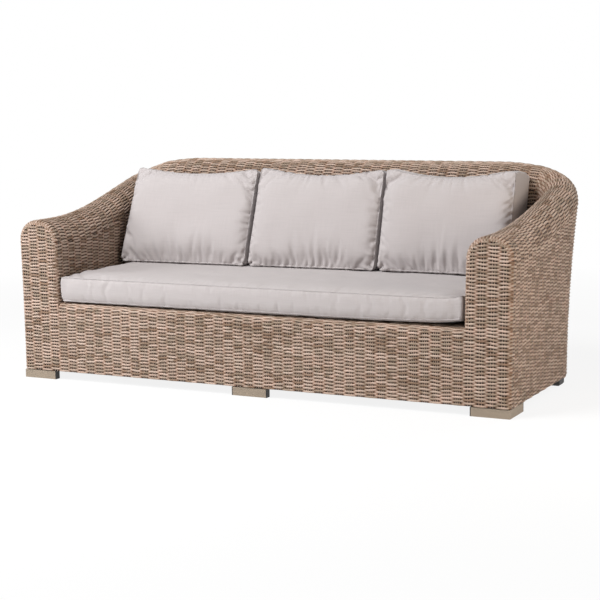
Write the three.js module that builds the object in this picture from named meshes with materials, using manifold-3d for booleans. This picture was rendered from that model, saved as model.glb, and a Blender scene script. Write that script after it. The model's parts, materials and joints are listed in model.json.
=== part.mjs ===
// Three-seat garden sofa with a wraparound woven shell, in millimetres, +Z up, +Y towards the back.
// The floor is z = 0. The shell is drawn from its front plane, and the whole sofa is centred at the end.
import * as THREE from 'three';
import { mergeVertices } from 'three/addons/utils/BufferGeometryUtils.js';
import Module from 'manifold-3d';

const wasm = await Module();
wasm.setup();

// Driving sizes of the woven shell
const baseWidth = 2100;
const baseDepth = 834;
const cornerRadius = 180;
const armLean = 15;
const backLean = 144;
const leanPower = 2;
const armHeight = 650;
const backHeight = 860;
const armThickness = 180;
const backThickness = 150;
const armRollRise = 88;
const backRollRise = 92;
const rollRoundness = 2.2;
const sweepStart = 87;
const sweepLength = 1180;
const sweepPower = 1.15;
const thinningStart = 200;
const thinningLength = 600;
const frontEdgeRadius = 18;
const weaveThickness = 12;
const weaveBottom = 36;

// Stations along the wall, as shares of its stretches added up: 0 at the front of the right arm, then its
// corner's ends and the middle of the back. The left half mirrors the right one.
const cornerStartShare = 1;
const cornerEndShare = 2;
const backMiddleShare = 3;

// Seat and front panel
const frontPanelHeight = 314;
const frontPanelRoll = 20;
const deckTop = 318;
const deckThickness = 6;

// Gap between neighbouring pieces, and overrun of the tools that cut them
const gap = 0.3;
const overrun = 2;
const weldShare = 0.01;

// Frame tubes
const tubeWall = 1.6;
const footHeight = 33;
const baseRailHeight = 20;
const baseRailDepth = 24;
const frontRailDepth = 31;
const hoopWidth = 20;
const hoopDepth = 15;
const armHoopShare = 0.6;
const cornerHoopShare = 0.5;
const backHoopShare = 0.5;
const cornerHoopClearance = 1.5;
const crestRadius = 11;
const crestClearance = 0.7;
const cornerCrestDip = 5;
const seatRailHeight = 24;
const seatRailWidth = 20;
const frontSeatRailDepth = 27;
const rearSeatRailDepth = 32;
const cornerClearance = 4;
const postWidth = 20;
const crossBarWidth = 24;
const crossBarHeight = 24;
const seatBarCount = 5;
const basePostShares = [-0.8, 0, 0.8];

// Feet
const footLength = 151;
const footDepth = 26;
const footSetback = 3;
const footWall = 2;
const capThickness = 3;
const capPlugDepth = 10;
const rearFootSize = 60;
const rearFootInset = 19;
const rearFootTaper = 5;
const rearFootReach = 124;
const glideHeight = 6;

// Cushions
const sideClearance = 1;
const seatCushionFront = 4;
const seatCushionRearClearance = 6;
const seatBoxing = 102;
const seatCrown = 14;
const seatDrawIn = 3;
const seatCornerRadius = 20;
const seatEdgeRound = 9;
const seatEdgePower = 24;
const backCushionTouches = 20;
const backCushionGap = 12;
const backCushionSlack = 15;
const backCushionShares = [0.347, 0.331, 0.322];
const backCushionHeight = 414;
const backCushionThickness = 176;
const backCushionCrown = 30;
const backCushionDip = 28;
const backCushionDrawIn = 5;
const backCushionRound = 12;
const backCushionRoundPower = 12;
const backCushionLeans = [24, 20, 15];
const crownPowers = [8, 6];

// How finely the solids are divided
const armSteps = 8;
const cornerSteps = 9;
const backShares = [0, 0.09, 0.18, 0.5, 1];
const wallCounts = { outer: 5, roll: 12, inner: 4 };
const rimCounts = { outer: 5, roll: 14, inner: 8 };
const rimSteps = 4;
const panelRollSteps = 6;
const crestSides = 8;
const seatGrid = { columns: 24, rows: 12, layers: 4 };
const backGrid = { columns: 12, rows: 12, layers: 3 };

const wicker = 0xb39a84;
const aluminium = 0x8d8f92;
const champagne = 0xb4a08a;
const blackPlastic = 0x1d1c1b;
const linen = 0xcdc6c3;

const finishes = {
  wicker: { color: wicker, roughness: 0.6, metalness: 0 },
  aluminium: { color: aluminium, roughness: 0.5, metalness: 0.8 },
  champagne: { color: champagne, roughness: 0.4, metalness: 0.6 },
  plastic: { color: blackPlastic, roughness: 0.55, metalness: 0 },
  linen: { color: linen, roughness: 0.95, metalness: 0 },
};

const clamp = (t) => Math.min(Math.max(t, 0), 1);
const smooth = (t) => clamp(t) ** 2 * (3 - 2 * clamp(t));
const mix = (a, b, t) => a + (b - a) * t;
const quarter = Math.PI / 2;
const steps = (count, from = 0, to = 1) =>
  Array.from({ length: count + 1 }, (_, i) => mix(from, to, i / count));

const sofa = new THREE.Group();

function add(name, geometry, finish, position = [0, 0, 0]) {
  const mesh = new THREE.Mesh(geometry, new THREE.MeshStandardMaterial(finishes[finish]));
  mesh.name = name;
  mesh.position.set(...position);
  sofa.add(mesh);
  return mesh;
}

// Plan of the wall
const opposite = (station) => 2 * backMiddleShare - station;
const sideOf = (station) => (station > backMiddleShare ? -1 : 1);
const half = (station) => Math.min(station, opposite(station));
const leanAt = (height) =>
  (Math.max(height - weaveBottom, 0) / (backHeight - weaveBottom)) ** leanPower;

function wallPoint(station, height, inset) {
  const s = half(station);
  const lean = leanAt(height);
  const along = Math.min(s, cornerStartShare);
  const angle = clamp(s - cornerStartShare) * quarter;
  const straight = (baseDepth - cornerRadius) * along + backLean * lean * along ** 2;
  const across = (baseWidth / 2 + armLean * lean - cornerRadius) * (1 - clamp(s - cornerEndShare));
  const reach = cornerRadius - inset;
  const x = across + reach * Math.cos(angle);
  return new THREE.Vector3(sideOf(station) * x, straight + reach * Math.sin(angle), height);
}

// Length along the top of the wall from the front of the arm
function runAt(station) {
  const s = half(station);
  const along = Math.min(s, cornerStartShare);
  const arm = (baseDepth - cornerRadius) * along + backLean * along ** 2;
  const back = baseWidth / 2 + armLean - cornerRadius;
  return arm + cornerRadius * quarter * clamp(s - cornerStartShare) + back * clamp(s - cornerEndShare);
}

// The crest's S-curve, from the arm's height to the back's
function crestAt(station) {
  const swept = Math.max((runAt(station) - sweepStart) / sweepLength, 0);
  return mix(armHeight, backHeight, smooth(swept ** sweepPower));
}

const thinning = (station) => smooth((runAt(station) - thinningStart) / thinningLength);
const thicknessAt = (station) => mix(armThickness, backThickness, thinning(station));
const rollRiseAt = (station) => mix(armRollRise, backRollRise, thinning(station));
const armStation = (depth) => depth / (baseDepth - cornerRadius);

// Cross-section of the wall as [inset, height] pairs, from its outer foot over the rolled top to its
// inner foot
function sectionAt(station, offset, outerBottom, innerBottom, counts = wallCounts) {
  const thickness = thicknessAt(station);
  const rise = rollRiseAt(station);
  const spring = crestAt(station) - rise;
  const radius = thickness / 2;
  const power = 2 / rollRoundness;
  const outer = steps(counts.outer, outerBottom, spring).slice(0, -1);
  const roll = steps(counts.roll, 0, Math.PI);
  const inner = steps(counts.inner, spring, innerBottom).slice(1);
  const rolled = (t) => {
    const across = Math.sign(Math.cos(t)) * Math.abs(Math.cos(t)) ** power;
    const up = Math.abs(Math.sin(t)) ** power;
    return [radius - (radius - offset) * across, spring + (rise - offset) * up];
  };
  return [
    ...outer.map((z) => [offset, z]),
    ...roll.map(rolled),
    ...inner.map((z) => [thickness - offset, z]),
  ];
}

const sectionRing = (station, offset, outerBottom, innerBottom) =>
  sectionAt(station, offset, outerBottom, innerBottom).map(([inset, z]) => wallPoint(station, z, inset));

// Closed geometry from vertices and triangles, turned so that its faces point out
function solid(points, triangles) {
  let volume = 0;
  const [a, b, c, cross] = [0, 0, 0, 0].map(() => new THREE.Vector3());
  for (const [i, j, k] of triangles) {
    a.copy(points[i]);
    b.copy(points[j]);
    c.copy(points[k]);
    volume += a.dot(cross.crossVectors(b, c));
  }
  const geometry = new THREE.BufferGeometry().setFromPoints(points);
  geometry.setIndex(triangles.flatMap(([i, j, k]) => (volume < 0 ? [i, k, j] : [i, j, k])));
  const soup = geometry.toNonIndexed();
  soup.computeVertexNormals();
  return soup;
}

// Skin over closed rings with equal counts. Each end is closed by a flat polygon, or by a strip between
// the first and second half of its ring when the section is a folded wall.
function loft(rings, folded = false) {
  const count = rings[0].length;
  const points = rings.flat();
  const triangles = [];
  for (let r = 0; r + 1 < rings.length; r++) {
    for (let i = 0; i < count; i++) {
      const [a, b] = [r * count + i, r * count + ((i + 1) % count)];
      triangles.push([a, b, b + count], [a, b + count, a + count]);
    }
  }
  for (const end of [0, rings.length - 1]) {
    const base = end * count;
    const faces = folded ? stripFaces(count) : polygonFaces(rings[end]);
    for (const [i, j, k] of faces) {
      const [second, third] = end === 0 ? [k, j] : [j, k];
      triangles.push([base + i, base + second, base + third]);
    }
  }
  return solid(points, triangles);
}

function stripFaces(count) {
  const faces = [];
  for (let i = 0; i + 1 < count / 2; i++) {
    const [a, b, c, d] = [i, i + 1, count - 2 - i, count - 1 - i];
    faces.push([a, b, c], [a, c, d]);
  }
  return faces;
}

function polygonFaces(ring) {
  const centre = ring.reduce((sum, p) => sum.add(p), new THREE.Vector3()).divideScalar(ring.length);
  const normal = new THREE.Vector3();
  ring.forEach((p, i) => {
    const q = ring[(i + 1) % ring.length];
    normal.add(new THREE.Vector3().crossVectors(p.clone().sub(centre), q.clone().sub(centre)));
  });
  normal.normalize();
  const u = ring[0].clone().sub(ring[1]).normalize();
  const v = new THREE.Vector3().crossVectors(normal, u);
  const flat = ring.map((p) => new THREE.Vector2(p.dot(u), p.dot(v)));
  return THREE.ShapeUtils.triangulateShape(flat, []);
}

// Hollow tube: an outer and an inner skin over matching rings, with a flat rim at both ends
function hollowLoft(outer, inner) {
  const count = outer[0].length;
  const points = [...outer.flat(), ...inner.flat()];
  const shift = outer.length * count;
  const last = (outer.length - 1) * count;
  const triangles = [];
  for (let r = 0; r + 1 < outer.length; r++) {
    for (let i = 0; i < count; i++) {
      const [a, b] = [r * count + i, r * count + ((i + 1) % count)];
      const [c, d] = [a + shift, b + shift];
      triangles.push([a, b, b + count], [a, b + count, a + count]);
      triangles.push([c, d + count, d], [c, c + count, d + count]);
    }
  }
  for (let i = 0; i < count; i++) {
    const j = (i + 1) % count;
    triangles.push([i, shift + i, shift + j], [i, shift + j, j]);
    triangles.push([last + i, last + shift + j, last + shift + i], [last + i, last + j, last + shift + j]);
  }
  return solid(points, triangles);
}

const rectangle = (width, depth) => [
  [-width / 2, -depth / 2],
  [width / 2, -depth / 2],
  [width / 2, depth / 2],
  [-width / 2, depth / 2],
];
const circle = (radius, sides) =>
  steps(sides, 0, 2 * Math.PI)
    .slice(0, -1)
    .map((a) => [radius * Math.cos(a), radius * Math.sin(a)]);

// Straight rectangular tube between two points along one axis, given by its box
function boxTube(low, high, axis) {
  const [u, v] = [0, 1, 2].filter((i) => i !== axis);
  const ring = (at, wall) =>
    [
      [low[u] + wall, low[v] + wall],
      [high[u] - wall, low[v] + wall],
      [high[u] - wall, high[v] - wall],
      [low[u] + wall, high[v] - wall],
    ].map(([a, b]) => {
      const p = [0, 0, 0];
      p[axis] = at;
      p[u] = a;
      p[v] = b;
      return new THREE.Vector3(...p);
    });
  const rings = (wall) => [ring(low[axis], wall), ring(high[axis], wall)];
  return hollowLoft(rings(0), rings(tubeWall));
}

// Solids for boolean cuts
function toManifold(geometry) {
  const bare = geometry.clone();
  bare.deleteAttribute('normal');
  if (bare.getAttribute('uv')) bare.deleteAttribute('uv');
  const merged = mergeVertices(bare, gap * weldShare);
  return new wasm.Manifold(
    new wasm.Mesh({
      numProp: 3,
      vertProperties: new Float32Array(merged.attributes.position.array),
      triVerts: new Uint32Array(merged.index.array),
    }),
  );
}

function fromManifold(manifold) {
  const mesh = manifold.getMesh();
  const geometry = new THREE.BufferGeometry();
  geometry.setAttribute('position', new THREE.BufferAttribute(new Float32Array(mesh.vertProperties), 3));
  geometry.setIndex(new THREE.BufferAttribute(new Uint32Array(mesh.triVerts), 1));
  const soup = geometry.toNonIndexed();
  soup.computeVertexNormals();
  return soup;
}

const cut = (body, ...tools) =>
  fromManifold(tools.reduce((left, tool) => left.subtract(toManifold(tool)), toManifold(body)));

// Heights and depths that the seat, its frame and the weave share
const skin = weaveThickness + gap;
const seatFront = frontPanelRoll + frontEdgeRadius + gap;
const wellHalfWidth = baseWidth / 2 - armThickness;
const frontSeatRailTop = frontPanelHeight - weaveThickness - cornerClearance;
const innerWeaveBottom = frontSeatRailTop + gap;
const seatRailTop = deckTop - deckThickness - gap - crossBarHeight - gap;
const railBottom = footHeight + gap;
const railTop = railBottom + baseRailHeight;
const innerBackAt = (height) => wallPoint(backMiddleShare, height, backThickness).y;
const frontRailRear = skin + frontRailDepth;
const frontHoopFront = frontEdgeRadius + 2 * gap;
const frontHoopRear = frontHoopFront + hoopWidth;

// Woven shell: inverted-U walls, open at the bottom
function wallSegment(stations) {
  const rings = stations.map((station) => [
    ...sectionRing(station, 0, weaveBottom, innerWeaveBottom),
    ...sectionRing(station, weaveThickness, weaveBottom, innerWeaveBottom).reverse(),
  ]);
  return loft(rings, true);
}

// Stations of the right half, each stretch drawn in by half a gap at its seams
const armSeam = gap / 2 / (baseDepth - cornerRadius);
const cornerSeam = gap / 2 / ((cornerRadius - backThickness) * quarter);
const backSeam = gap / 2 / (baseWidth / 2 - cornerRadius);
const armStations = steps(armSteps, armStation(frontEdgeRadius + gap), cornerStartShare - armSeam);
const cornerStations = steps(cornerSteps, cornerStartShare + cornerSeam, cornerEndShare - cornerSeam);
const backStations = backShares.map((share) => mix(cornerEndShare + backSeam, backMiddleShare, share));
const mirrored = (stations) => stations.map(opposite).reverse();
const rightStations = [...armStations, ...cornerStations, ...backStations];
const wallStations = [...rightStations, ...mirrored(rightStations).slice(1)];

function addWalls() {
  add('right_arm_weave', wallSegment(armStations), 'wicker');
  add('left_arm_weave', wallSegment(mirrored(armStations)), 'wicker');
  add('right_corner_weave', wallSegment(cornerStations), 'wicker');
  add('left_corner_weave', wallSegment(mirrored(cornerStations)), 'wicker');
  add('back_weave', wallSegment([...backStations, ...mirrored(backStations).slice(1)]), 'wicker');
}

// Arched front of an arm: a dish whose rounded rim runs over the roll, flush with the front panel
// below the seat
function archRing(side, offset, depth, edge, bottom) {
  const pairs = sectionAt(0, offset, bottom, bottom, rimCounts);
  const inner = pairs.length - rimCounts.inner;
  const middle = armThickness / 2;
  const crown = armHeight - armRollRise;
  return pairs.map(([inset, z], i) => {
    const rounded = i < inner ? 1 : smooth((z - frontPanelHeight + frontPanelRoll) / frontPanelRoll);
    const outward = new THREE.Vector2(middle - inset, Math.max(z - crown, 0)).normalize();
    const shift = edge * rounded;
    const x = baseWidth / 2 + armLean * leanAt(z) - inset - outward.x * shift;
    return new THREE.Vector3(side * x, depth, z - outward.y * shift);
  });
}

function addArmFronts() {
  for (const [name, side] of [['right', 1], ['left', -1]]) {
    const rounded = (offset, bottom) =>
      steps(rimSteps, 0, quarter).map((a) => {
        const radius = frontEdgeRadius - offset;
        const edge = radius * (1 - Math.cos(a));
        return archRing(side, offset, frontEdgeRadius - radius * Math.sin(a), edge, bottom);
      });
    const outer = rounded(0, weaveBottom);
    const low = weaveBottom - overrun;
    const mouth = archRing(side, weaveThickness, frontEdgeRadius + overrun, 0, low);
    const inner = [mouth, ...rounded(weaveThickness, low)];
    const open = new THREE.BoxGeometry(2 * (weaveThickness + overrun), frontEdgeRadius, frontPanelHeight);
    const middle = weaveThickness + frontEdgeRadius / 2;
    open.translate(side * wellHalfWidth, middle, frontPanelHeight / 2 - weaveThickness);
    add(`${name}_arm_front_weave`, cut(loft(outer), loft(inner), open), 'wicker');
  }
}

// Front panel: a sheet rolled back over the seat's front rail
function addFrontPanel() {
  const profile = new THREE.Shape();
  const inner = frontPanelRoll - weaveThickness;
  const backEdge = frontPanelRoll + frontEdgeRadius;
  profile.moveTo(0, weaveBottom);
  profile.lineTo(0, frontPanelHeight - frontPanelRoll);
  profile.absarc(frontPanelRoll, frontPanelHeight - frontPanelRoll, frontPanelRoll, Math.PI, quarter, true);
  profile.lineTo(backEdge, frontPanelHeight);
  profile.lineTo(backEdge, frontPanelHeight - weaveThickness);
  profile.lineTo(frontPanelRoll, frontPanelHeight - weaveThickness);
  profile.absarc(frontPanelRoll, frontPanelHeight - frontPanelRoll, inner, quarter, Math.PI, false);
  profile.lineTo(weaveThickness, weaveBottom);
  const width = baseWidth - 2 * (armThickness + gap);
  const sheet = new THREE.ExtrudeGeometry(profile, {
    depth: width,
    bevelEnabled: false,
    curveSegments: panelRollSteps,
  });
  const [x, y, z] = [new THREE.Vector3(1, 0, 0), new THREE.Vector3(0, 1, 0), new THREE.Vector3(0, 0, 1)];
  sheet.applyMatrix4(new THREE.Matrix4().makeBasis(y, z, x));
  add('front_panel_weave', sheet, 'wicker', [-width / 2, 0, 0]);
}

// Woven deck under the cushion
function addDeck() {
  const rear = innerBackAt(deckTop - deckThickness) - gap;
  const width = 2 * (wellHalfWidth - gap);
  const deck = new THREE.BoxGeometry(width, rear - seatFront, deckThickness);
  add('seat_deck_weave', deck, 'wicker', [0, (seatFront + rear) / 2, deckTop - deckThickness / 2]);
}

// Base frame: a front rail, a bent rail round the wall's foot, bars between them and posts
function addBaseFrame() {
  const reach = baseWidth / 2 - skin;
  const chamfer = frontEdgeRadius - skin;
  const ring = (x, front, wall) => [
    new THREE.Vector3(x, front + wall, railBottom + wall),
    new THREE.Vector3(x, frontRailRear - wall, railBottom + wall),
    new THREE.Vector3(x, frontRailRear - wall, railTop - wall),
    new THREE.Vector3(x, front + wall, railTop - wall),
  ];
  const places = [
    [-reach, skin + chamfer],
    [chamfer - reach, skin],
    [reach - chamfer, skin],
    [reach, skin + chamfer],
  ];
  const rings = (wall) => places.map(([x, front]) => ring(x, front, wall));
  add('base_front_rail', hollowLoft(rings(0), rings(tubeWall)), 'aluminium');

  const bend = [armStation(frontRailRear + gap), ...cornerStations];
  const stations = [...bend, ...mirrored(bend)];
  const bentRing = (station, wall) => {
    const near = skin + wall;
    const far = skin + baseRailDepth - wall;
    const [low, high] = [railBottom + wall, railTop - wall];
    const corners = [
      [near, low],
      [far, low],
      [far, high],
      [near, high],
    ];
    return corners.map(([inset, z]) => wallPoint(station, z, inset));
  };
  const bent = (wall) => stations.map((station) => bentRing(station, wall));
  add('base_bent_rail', hollowLoft(bent(0), bent(tubeWall)), 'aluminium');

  const rearFace = baseDepth - skin - baseRailDepth - gap;
  const names = ['left', 'middle', 'right'];
  const rearRailMiddle = innerBackAt(seatRailTop) + skin + hoopDepth / 2;
  basePostShares.forEach((share, i) => {
    const x = share * wellHalfWidth;
    const side = crossBarWidth / 2;
    add(
      `base_cross_bar_${names[i]}`,
      boxTube([x - side, frontRailRear + gap, railBottom], [x + side, rearFace, railTop], 1),
      'aluminium',
    );
    const post = postWidth / 2;
    add(
      `rear_post_${names[i]}`,
      boxTube(
        [x - post, rearRailMiddle - post, railTop + gap],
        [x + post, rearRailMiddle + post, seatRailTop - seatRailHeight - gap],
        2,
      ),
      'aluminium',
    );
  });
}

// Seat frame: front, rear and side rails with bars under the deck
function addSeatFrame() {
  const frontRailFace = weaveThickness + cornerClearance;
  const rear = seatFront - gap;
  const frontRailBottom = frontSeatRailTop - seatRailHeight;
  const span = wellHalfWidth + skin - gap;
  add(
    'seat_front_rail',
    boxTube([-span, frontRailFace, frontRailBottom], [span, rear, frontSeatRailTop], 0),
    'aluminium',
  );
  add(
    'front_middle_post',
    boxTube(
      [-postWidth / 2, frontRailFace, railTop + gap],
      [postWidth / 2, frontRailFace + postWidth, frontRailBottom - gap],
      2,
    ),
    'aluminium',
  );
  const rearFace = innerBackAt(seatRailTop) - skin;
  const rearSpan = wellHalfWidth + skin + hoopDepth + seatRailWidth;
  add(
    'seat_rear_rail',
    boxTube(
      [-rearSpan, rearFace, seatRailTop - seatRailHeight],
      [rearSpan, rearFace + rearSeatRailDepth, seatRailTop],
      0,
    ),
    'aluminium',
  );
  for (const [name, side] of [['right', 1], ['left', -1]]) {
    const near = wellHalfWidth + skin;
    const xs = [side * near, side * (near + seatRailWidth)].sort((a, b) => a - b);
    add(
      `seat_side_rail_${name}`,
      boxTube(
        [xs[0], frontHoopRear + gap, seatRailTop - seatRailHeight],
        [xs[1], rearFace - gap, seatRailTop],
        1,
      ),
      'aluminium',
    );
  }
  const barTop = deckTop - deckThickness - gap;
  const barRear = innerBackAt(innerWeaveBottom) - gap;
  for (let i = 0; i < seatBarCount; i++) {
    const x = mix(-wellHalfWidth, wellHalfWidth, (i + 0.5) / seatBarCount);
    add(
      `seat_cross_bar_${i + 1}`,
      boxTube(
        [x - crossBarWidth / 2, seatFront, barTop - crossBarHeight],
        [x + crossBarWidth / 2, barRear, barTop],
        1,
      ),
      'aluminium',
    );
  }
}

// A section's ring on the flat facets of the weave, moved along them by some distance
function facetRing(station, offset, distance, outerBottom, innerBottom) {
  const next = Math.max(wallStations.findIndex((other) => other >= station), 1);
  const [before, after] = [wallStations[next - 1], wallStations[next]];
  const share = (station - before) / (after - before);
  const [a, b] = [before, after].map((end) => sectionRing(end, offset, weaveBottom, innerWeaveBottom));
  const ring = a.map((point, i) => {
    const along = b[i].clone().sub(point);
    return point.clone().lerp(b[i], share).addScaledVector(along, distance / Math.hypot(along.x, along.y));
  });
  const ends = [[0, 1, outerBottom], [ring.length - 1, ring.length - 2, innerBottom]];
  for (const [end, neighbour, height] of ends) {
    const slope = (height - ring[end].z) / (ring[neighbour].z - ring[end].z);
    ring[end].lerp(ring[neighbour], slope);
  }
  return ring;
}

// Hoop: a flat tube bent over the wall's section, which carries the weave
function hoop(station, innerBottom, clearance = 0) {
  const near = skin + clearance;
  const rings = (wall) => {
    const side = hoopWidth / 2 - wall;
    const edge = (inset, distance) => facetRing(station, inset, distance, railTop + gap, innerBottom);
    const edges = [
      edge(near + wall, -side),
      edge(near + wall, side),
      edge(near + hoopDepth - wall, side),
      edge(near + hoopDepth - wall, -side),
    ];
    return edges[0].map((_, i) => edges.map((ring) => ring[i]));
  };
  return hollowLoft(rings(0), rings(tubeWall));
}

function addHoops() {
  const onSeatRail = seatRailTop + gap;
  const places = [
    ['arm_front', armStation((frontHoopFront + frontHoopRear) / 2), railTop + gap],
    ['arm_middle', armHoopShare, onSeatRail],
    ['corner', cornerStartShare + cornerHoopShare, onSeatRail, cornerHoopClearance],
    ['back', cornerEndShare + backHoopShare, onSeatRail],
  ];
  for (const [name, station, bottom, clearance] of places) {
    add(`right_${name}_hoop`, hoop(station, bottom, clearance), 'aluminium');
    add(`left_${name}_hoop`, hoop(opposite(station), bottom, clearance), 'aluminium');
  }
  add('back_middle_hoop', hoop(backMiddleShare, onSeatRail), 'aluminium');
}

// Crest rail: one round tube bent to the sweep of the arms and back, under the crowns of the hoops
function addCrestRail() {
  const depth = skin + hoopDepth + crestClearance + crestRadius;
  const centre = (station) => {
    const dip = cornerCrestDip * Math.sin(Math.PI * clamp(half(station) - cornerStartShare));
    return wallPoint(station, crestAt(station) - depth - dip, thicknessAt(station) / 2);
  };
  const centres = wallStations.map(centre);
  const rings = (radius) =>
    centres.map((point, i) => {
      const before = centres[Math.max(i - 1, 0)];
      const after = centres[Math.min(i + 1, centres.length - 1)];
      const tangent = after.clone().sub(before).normalize();
      const side = new THREE.Vector3(-tangent.y, tangent.x, 0).normalize();
      const up = new THREE.Vector3().crossVectors(tangent, side);
      return circle(radius, crestSides).map(([a, b]) =>
        point.clone().addScaledVector(side, a).addScaledVector(up, b),
      );
    });
  add('crest_rail', hollowLoft(rings(crestRadius), rings(crestRadius - tubeWall)), 'aluminium');
}

// Front feet: rectangular tubes, turned round the corner under the arms, with plastic caps in their
// open ends
function footRings(points, wall) {
  return points.map(([outer, inner]) => {
    const [near, far] = [wall / footDepth, 1 - wall / footDepth].map((share) =>
      new THREE.Vector2(...outer).lerp(new THREE.Vector2(...inner), share),
    );
    return [
      new THREE.Vector3(near.x, near.y, wall),
      new THREE.Vector3(far.x, far.y, wall),
      new THREE.Vector3(far.x, far.y, footHeight - wall),
      new THREE.Vector3(near.x, near.y, footHeight - wall),
    ];
  });
}

function footCap(direction) {
  const flange = new THREE.BoxGeometry(capThickness, footDepth, footHeight);
  flange.translate((direction * capThickness) / 2, 0, footHeight / 2);
  const inside = 2 * (footWall + gap);
  const plug = new THREE.BoxGeometry(capPlugDepth + overrun, footDepth - inside, footHeight - inside);
  plug.translate((direction * (overrun - capPlugDepth)) / 2, 0, footHeight / 2);
  return fromManifold(toManifold(flange).add(toManifold(plug)));
}

function addFeet() {
  const front = footSetback;
  const rear = footSetback + footDepth;
  const edge = baseWidth / 2 - footSetback;
  const length = footLength - 2 * (capThickness + gap);
  for (const [name, side] of [['right', 1], ['left', -1]]) {
    const inner = side * (edge - footLength + capThickness + gap);
    const far = front + footLength - capThickness - gap;
    const points = [
      [[inner, front], [inner, rear]],
      [[side * edge, front], [side * (edge - footDepth), rear]],
      [[side * edge, far], [side * (edge - footDepth), far]],
    ];
    add(`front_${name}_foot`, hollowLoft(footRings(points, 0), footRings(points, footWall)), 'champagne');
    const innerCap = add(`front_${name}_foot_inner_cap`, footCap(-side), 'plastic');
    innerCap.position.set(inner - side * gap, front + footDepth / 2, 0);
    const rearCap = add(`front_${name}_foot_rear_cap`, footCap(1), 'plastic');
    rearCap.rotation.z = Math.PI / 2;
    rearCap.position.set(side * (edge - footDepth / 2), far + gap, 0);
  }
  const middle = [-length / 2, length / 2].map((x) => [[x, front], [x, rear]]);
  add('front_middle_foot', hollowLoft(footRings(middle, 0), footRings(middle, footWall)), 'champagne');
  for (const [name, side] of [['right', 1], ['left', -1]]) {
    const cap = add(`front_middle_foot_${name}_cap`, footCap(side), 'plastic');
    cap.position.set(side * (length / 2 + gap), front + footDepth / 2, 0);
  }
  const block = (x, y) => {
    const ring = (z, size) => rectangle(size, size).map(([a, b]) => new THREE.Vector3(x + a, y + b, z));
    const rings = [
      ring(0, rearFootSize - 2 * rearFootTaper),
      ring(glideHeight, rearFootSize),
      ring(footHeight, rearFootSize),
    ];
    return loft(rings);
  };
  const rearX = baseWidth / 2 - rearFootInset - rearFootSize / 2;
  const rearY = baseDepth - rearFootReach - rearFootSize / 2;
  add('rear_right_foot', block(rearX, rearY), 'plastic');
  add('rear_left_foot', block(-rearX, rearY), 'plastic');
  add('rear_middle_foot', block(0, baseDepth - skin - rearFootSize / 2), 'plastic');
}

// Cushion from two faces over a grid and a boxing strip between them. place maps u and v, each -1 to 1,
// and the side, 1 to -1 across the boxing, to a point.
function cushion({ columns, rows, layers }, place) {
  const points = [];
  const triangles = [];
  const index = new Map();
  const vertex = (key, make) => {
    if (!index.has(key)) {
      index.set(key, points.length);
      points.push(make());
    }
    return index.get(key);
  };
  const share = (i, count) => (2 * i) / count - 1;
  const at = (i, j, layer) =>
    vertex(`${i},${j},${layer}`, () => place(share(i, columns), share(j, rows), -share(layer, layers)));
  for (let i = 0; i < columns; i++) {
    for (let j = 0; j < rows; j++) {
      const corners = [[i, j], [i + 1, j], [i + 1, j + 1], [i, j + 1]];
      const [a, b, c, d] = corners.map(([m, n]) => at(m, n, 0));
      const [e, f, g, h] = corners.map(([m, n]) => at(m, n, layers));
      triangles.push([a, b, c], [a, c, d], [e, g, f], [e, h, g]);
    }
  }
  const range = (count) => Array.from({ length: count }, (_, i) => i);
  const edge = [
    ...range(columns).map((i) => [i, 0]),
    ...range(rows).map((j) => [columns, j]),
    ...range(columns).map((i) => [columns - i, rows]),
    ...range(rows).map((j) => [0, rows - j]),
  ];
  edge.forEach(([i, j], k) => {
    const [m, n] = edge[(k + 1) % edge.length];
    for (let layer = 0; layer < layers; layer++) {
      const [a, b] = [at(i, j, layer), at(m, n, layer)];
      const [c, d] = [at(m, n, layer + 1), at(i, j, layer + 1)];
      triangles.push([a, d, c], [a, c, b]);
    }
  });
  return solid(points, triangles);
}

// Where the square's corner turns into a round one
function roundCorner(x, y, halfX, halfY, radius) {
  const dx = Math.abs(x) - (halfX - radius);
  const dy = Math.abs(y) - (halfY - radius);
  if (dx <= 0 || dy <= 0) return [x, y];
  const pull = Math.max(dx, dy) / Math.hypot(dx, dy);
  return [Math.sign(x) * (halfX - radius + dx * pull), Math.sign(y) * (halfY - radius + dy * pull)];
}

// Grid values packed towards the edges, where the crown falls off
const packed = (t) => Math.sin(t * quarter);
const crownShape = (u, v) =>
  Math.sqrt(clamp(1 - u ** crownPowers[0])) * Math.sqrt(clamp(1 - v ** crownPowers[1]));

const seatBottom = deckTop + gap;
const seatTop = seatBottom + seatBoxing + seatCrown;

function addSeatCushion() {
  const halfX = wellHalfWidth - sideClearance;
  const rear = innerBackAt(seatBottom) - seatCushionRearClearance;
  const halfY = (rear - seatCushionFront) / 2;
  const middle = (rear + seatCushionFront) / 2;
  const heightAt = (s, t, side) => {
    if (side === 1) return seatBoxing + seatCrown * crownShape(s, t);
    if (side === -1) return seatEdgeRound * (1 - crownShape(s, t));
    return mix(seatEdgeRound, seatBoxing, (side + 1) / 2);
  };
  const geometry = cushion(seatGrid, (u, v, side) => {
    const [s, t] = [packed(u), packed(v)];
    const onFace = Math.abs(side) === 1 ? 1 : 0;
    const drawn = (share) => onFace * (seatEdgeRound * share ** seatEdgePower + seatDrawIn * share ** 2);
    const [x, y] = roundCorner(halfX * s, halfY * t, halfX, halfY, seatCornerRadius);
    const z = seatBottom + heightAt(s, t, side);
    return new THREE.Vector3(x * (1 - drawn(s) / halfX), middle + y * (1 - drawn(t) / halfY), z);
  });
  add('seat_cushion', geometry, 'linen');
}

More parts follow.
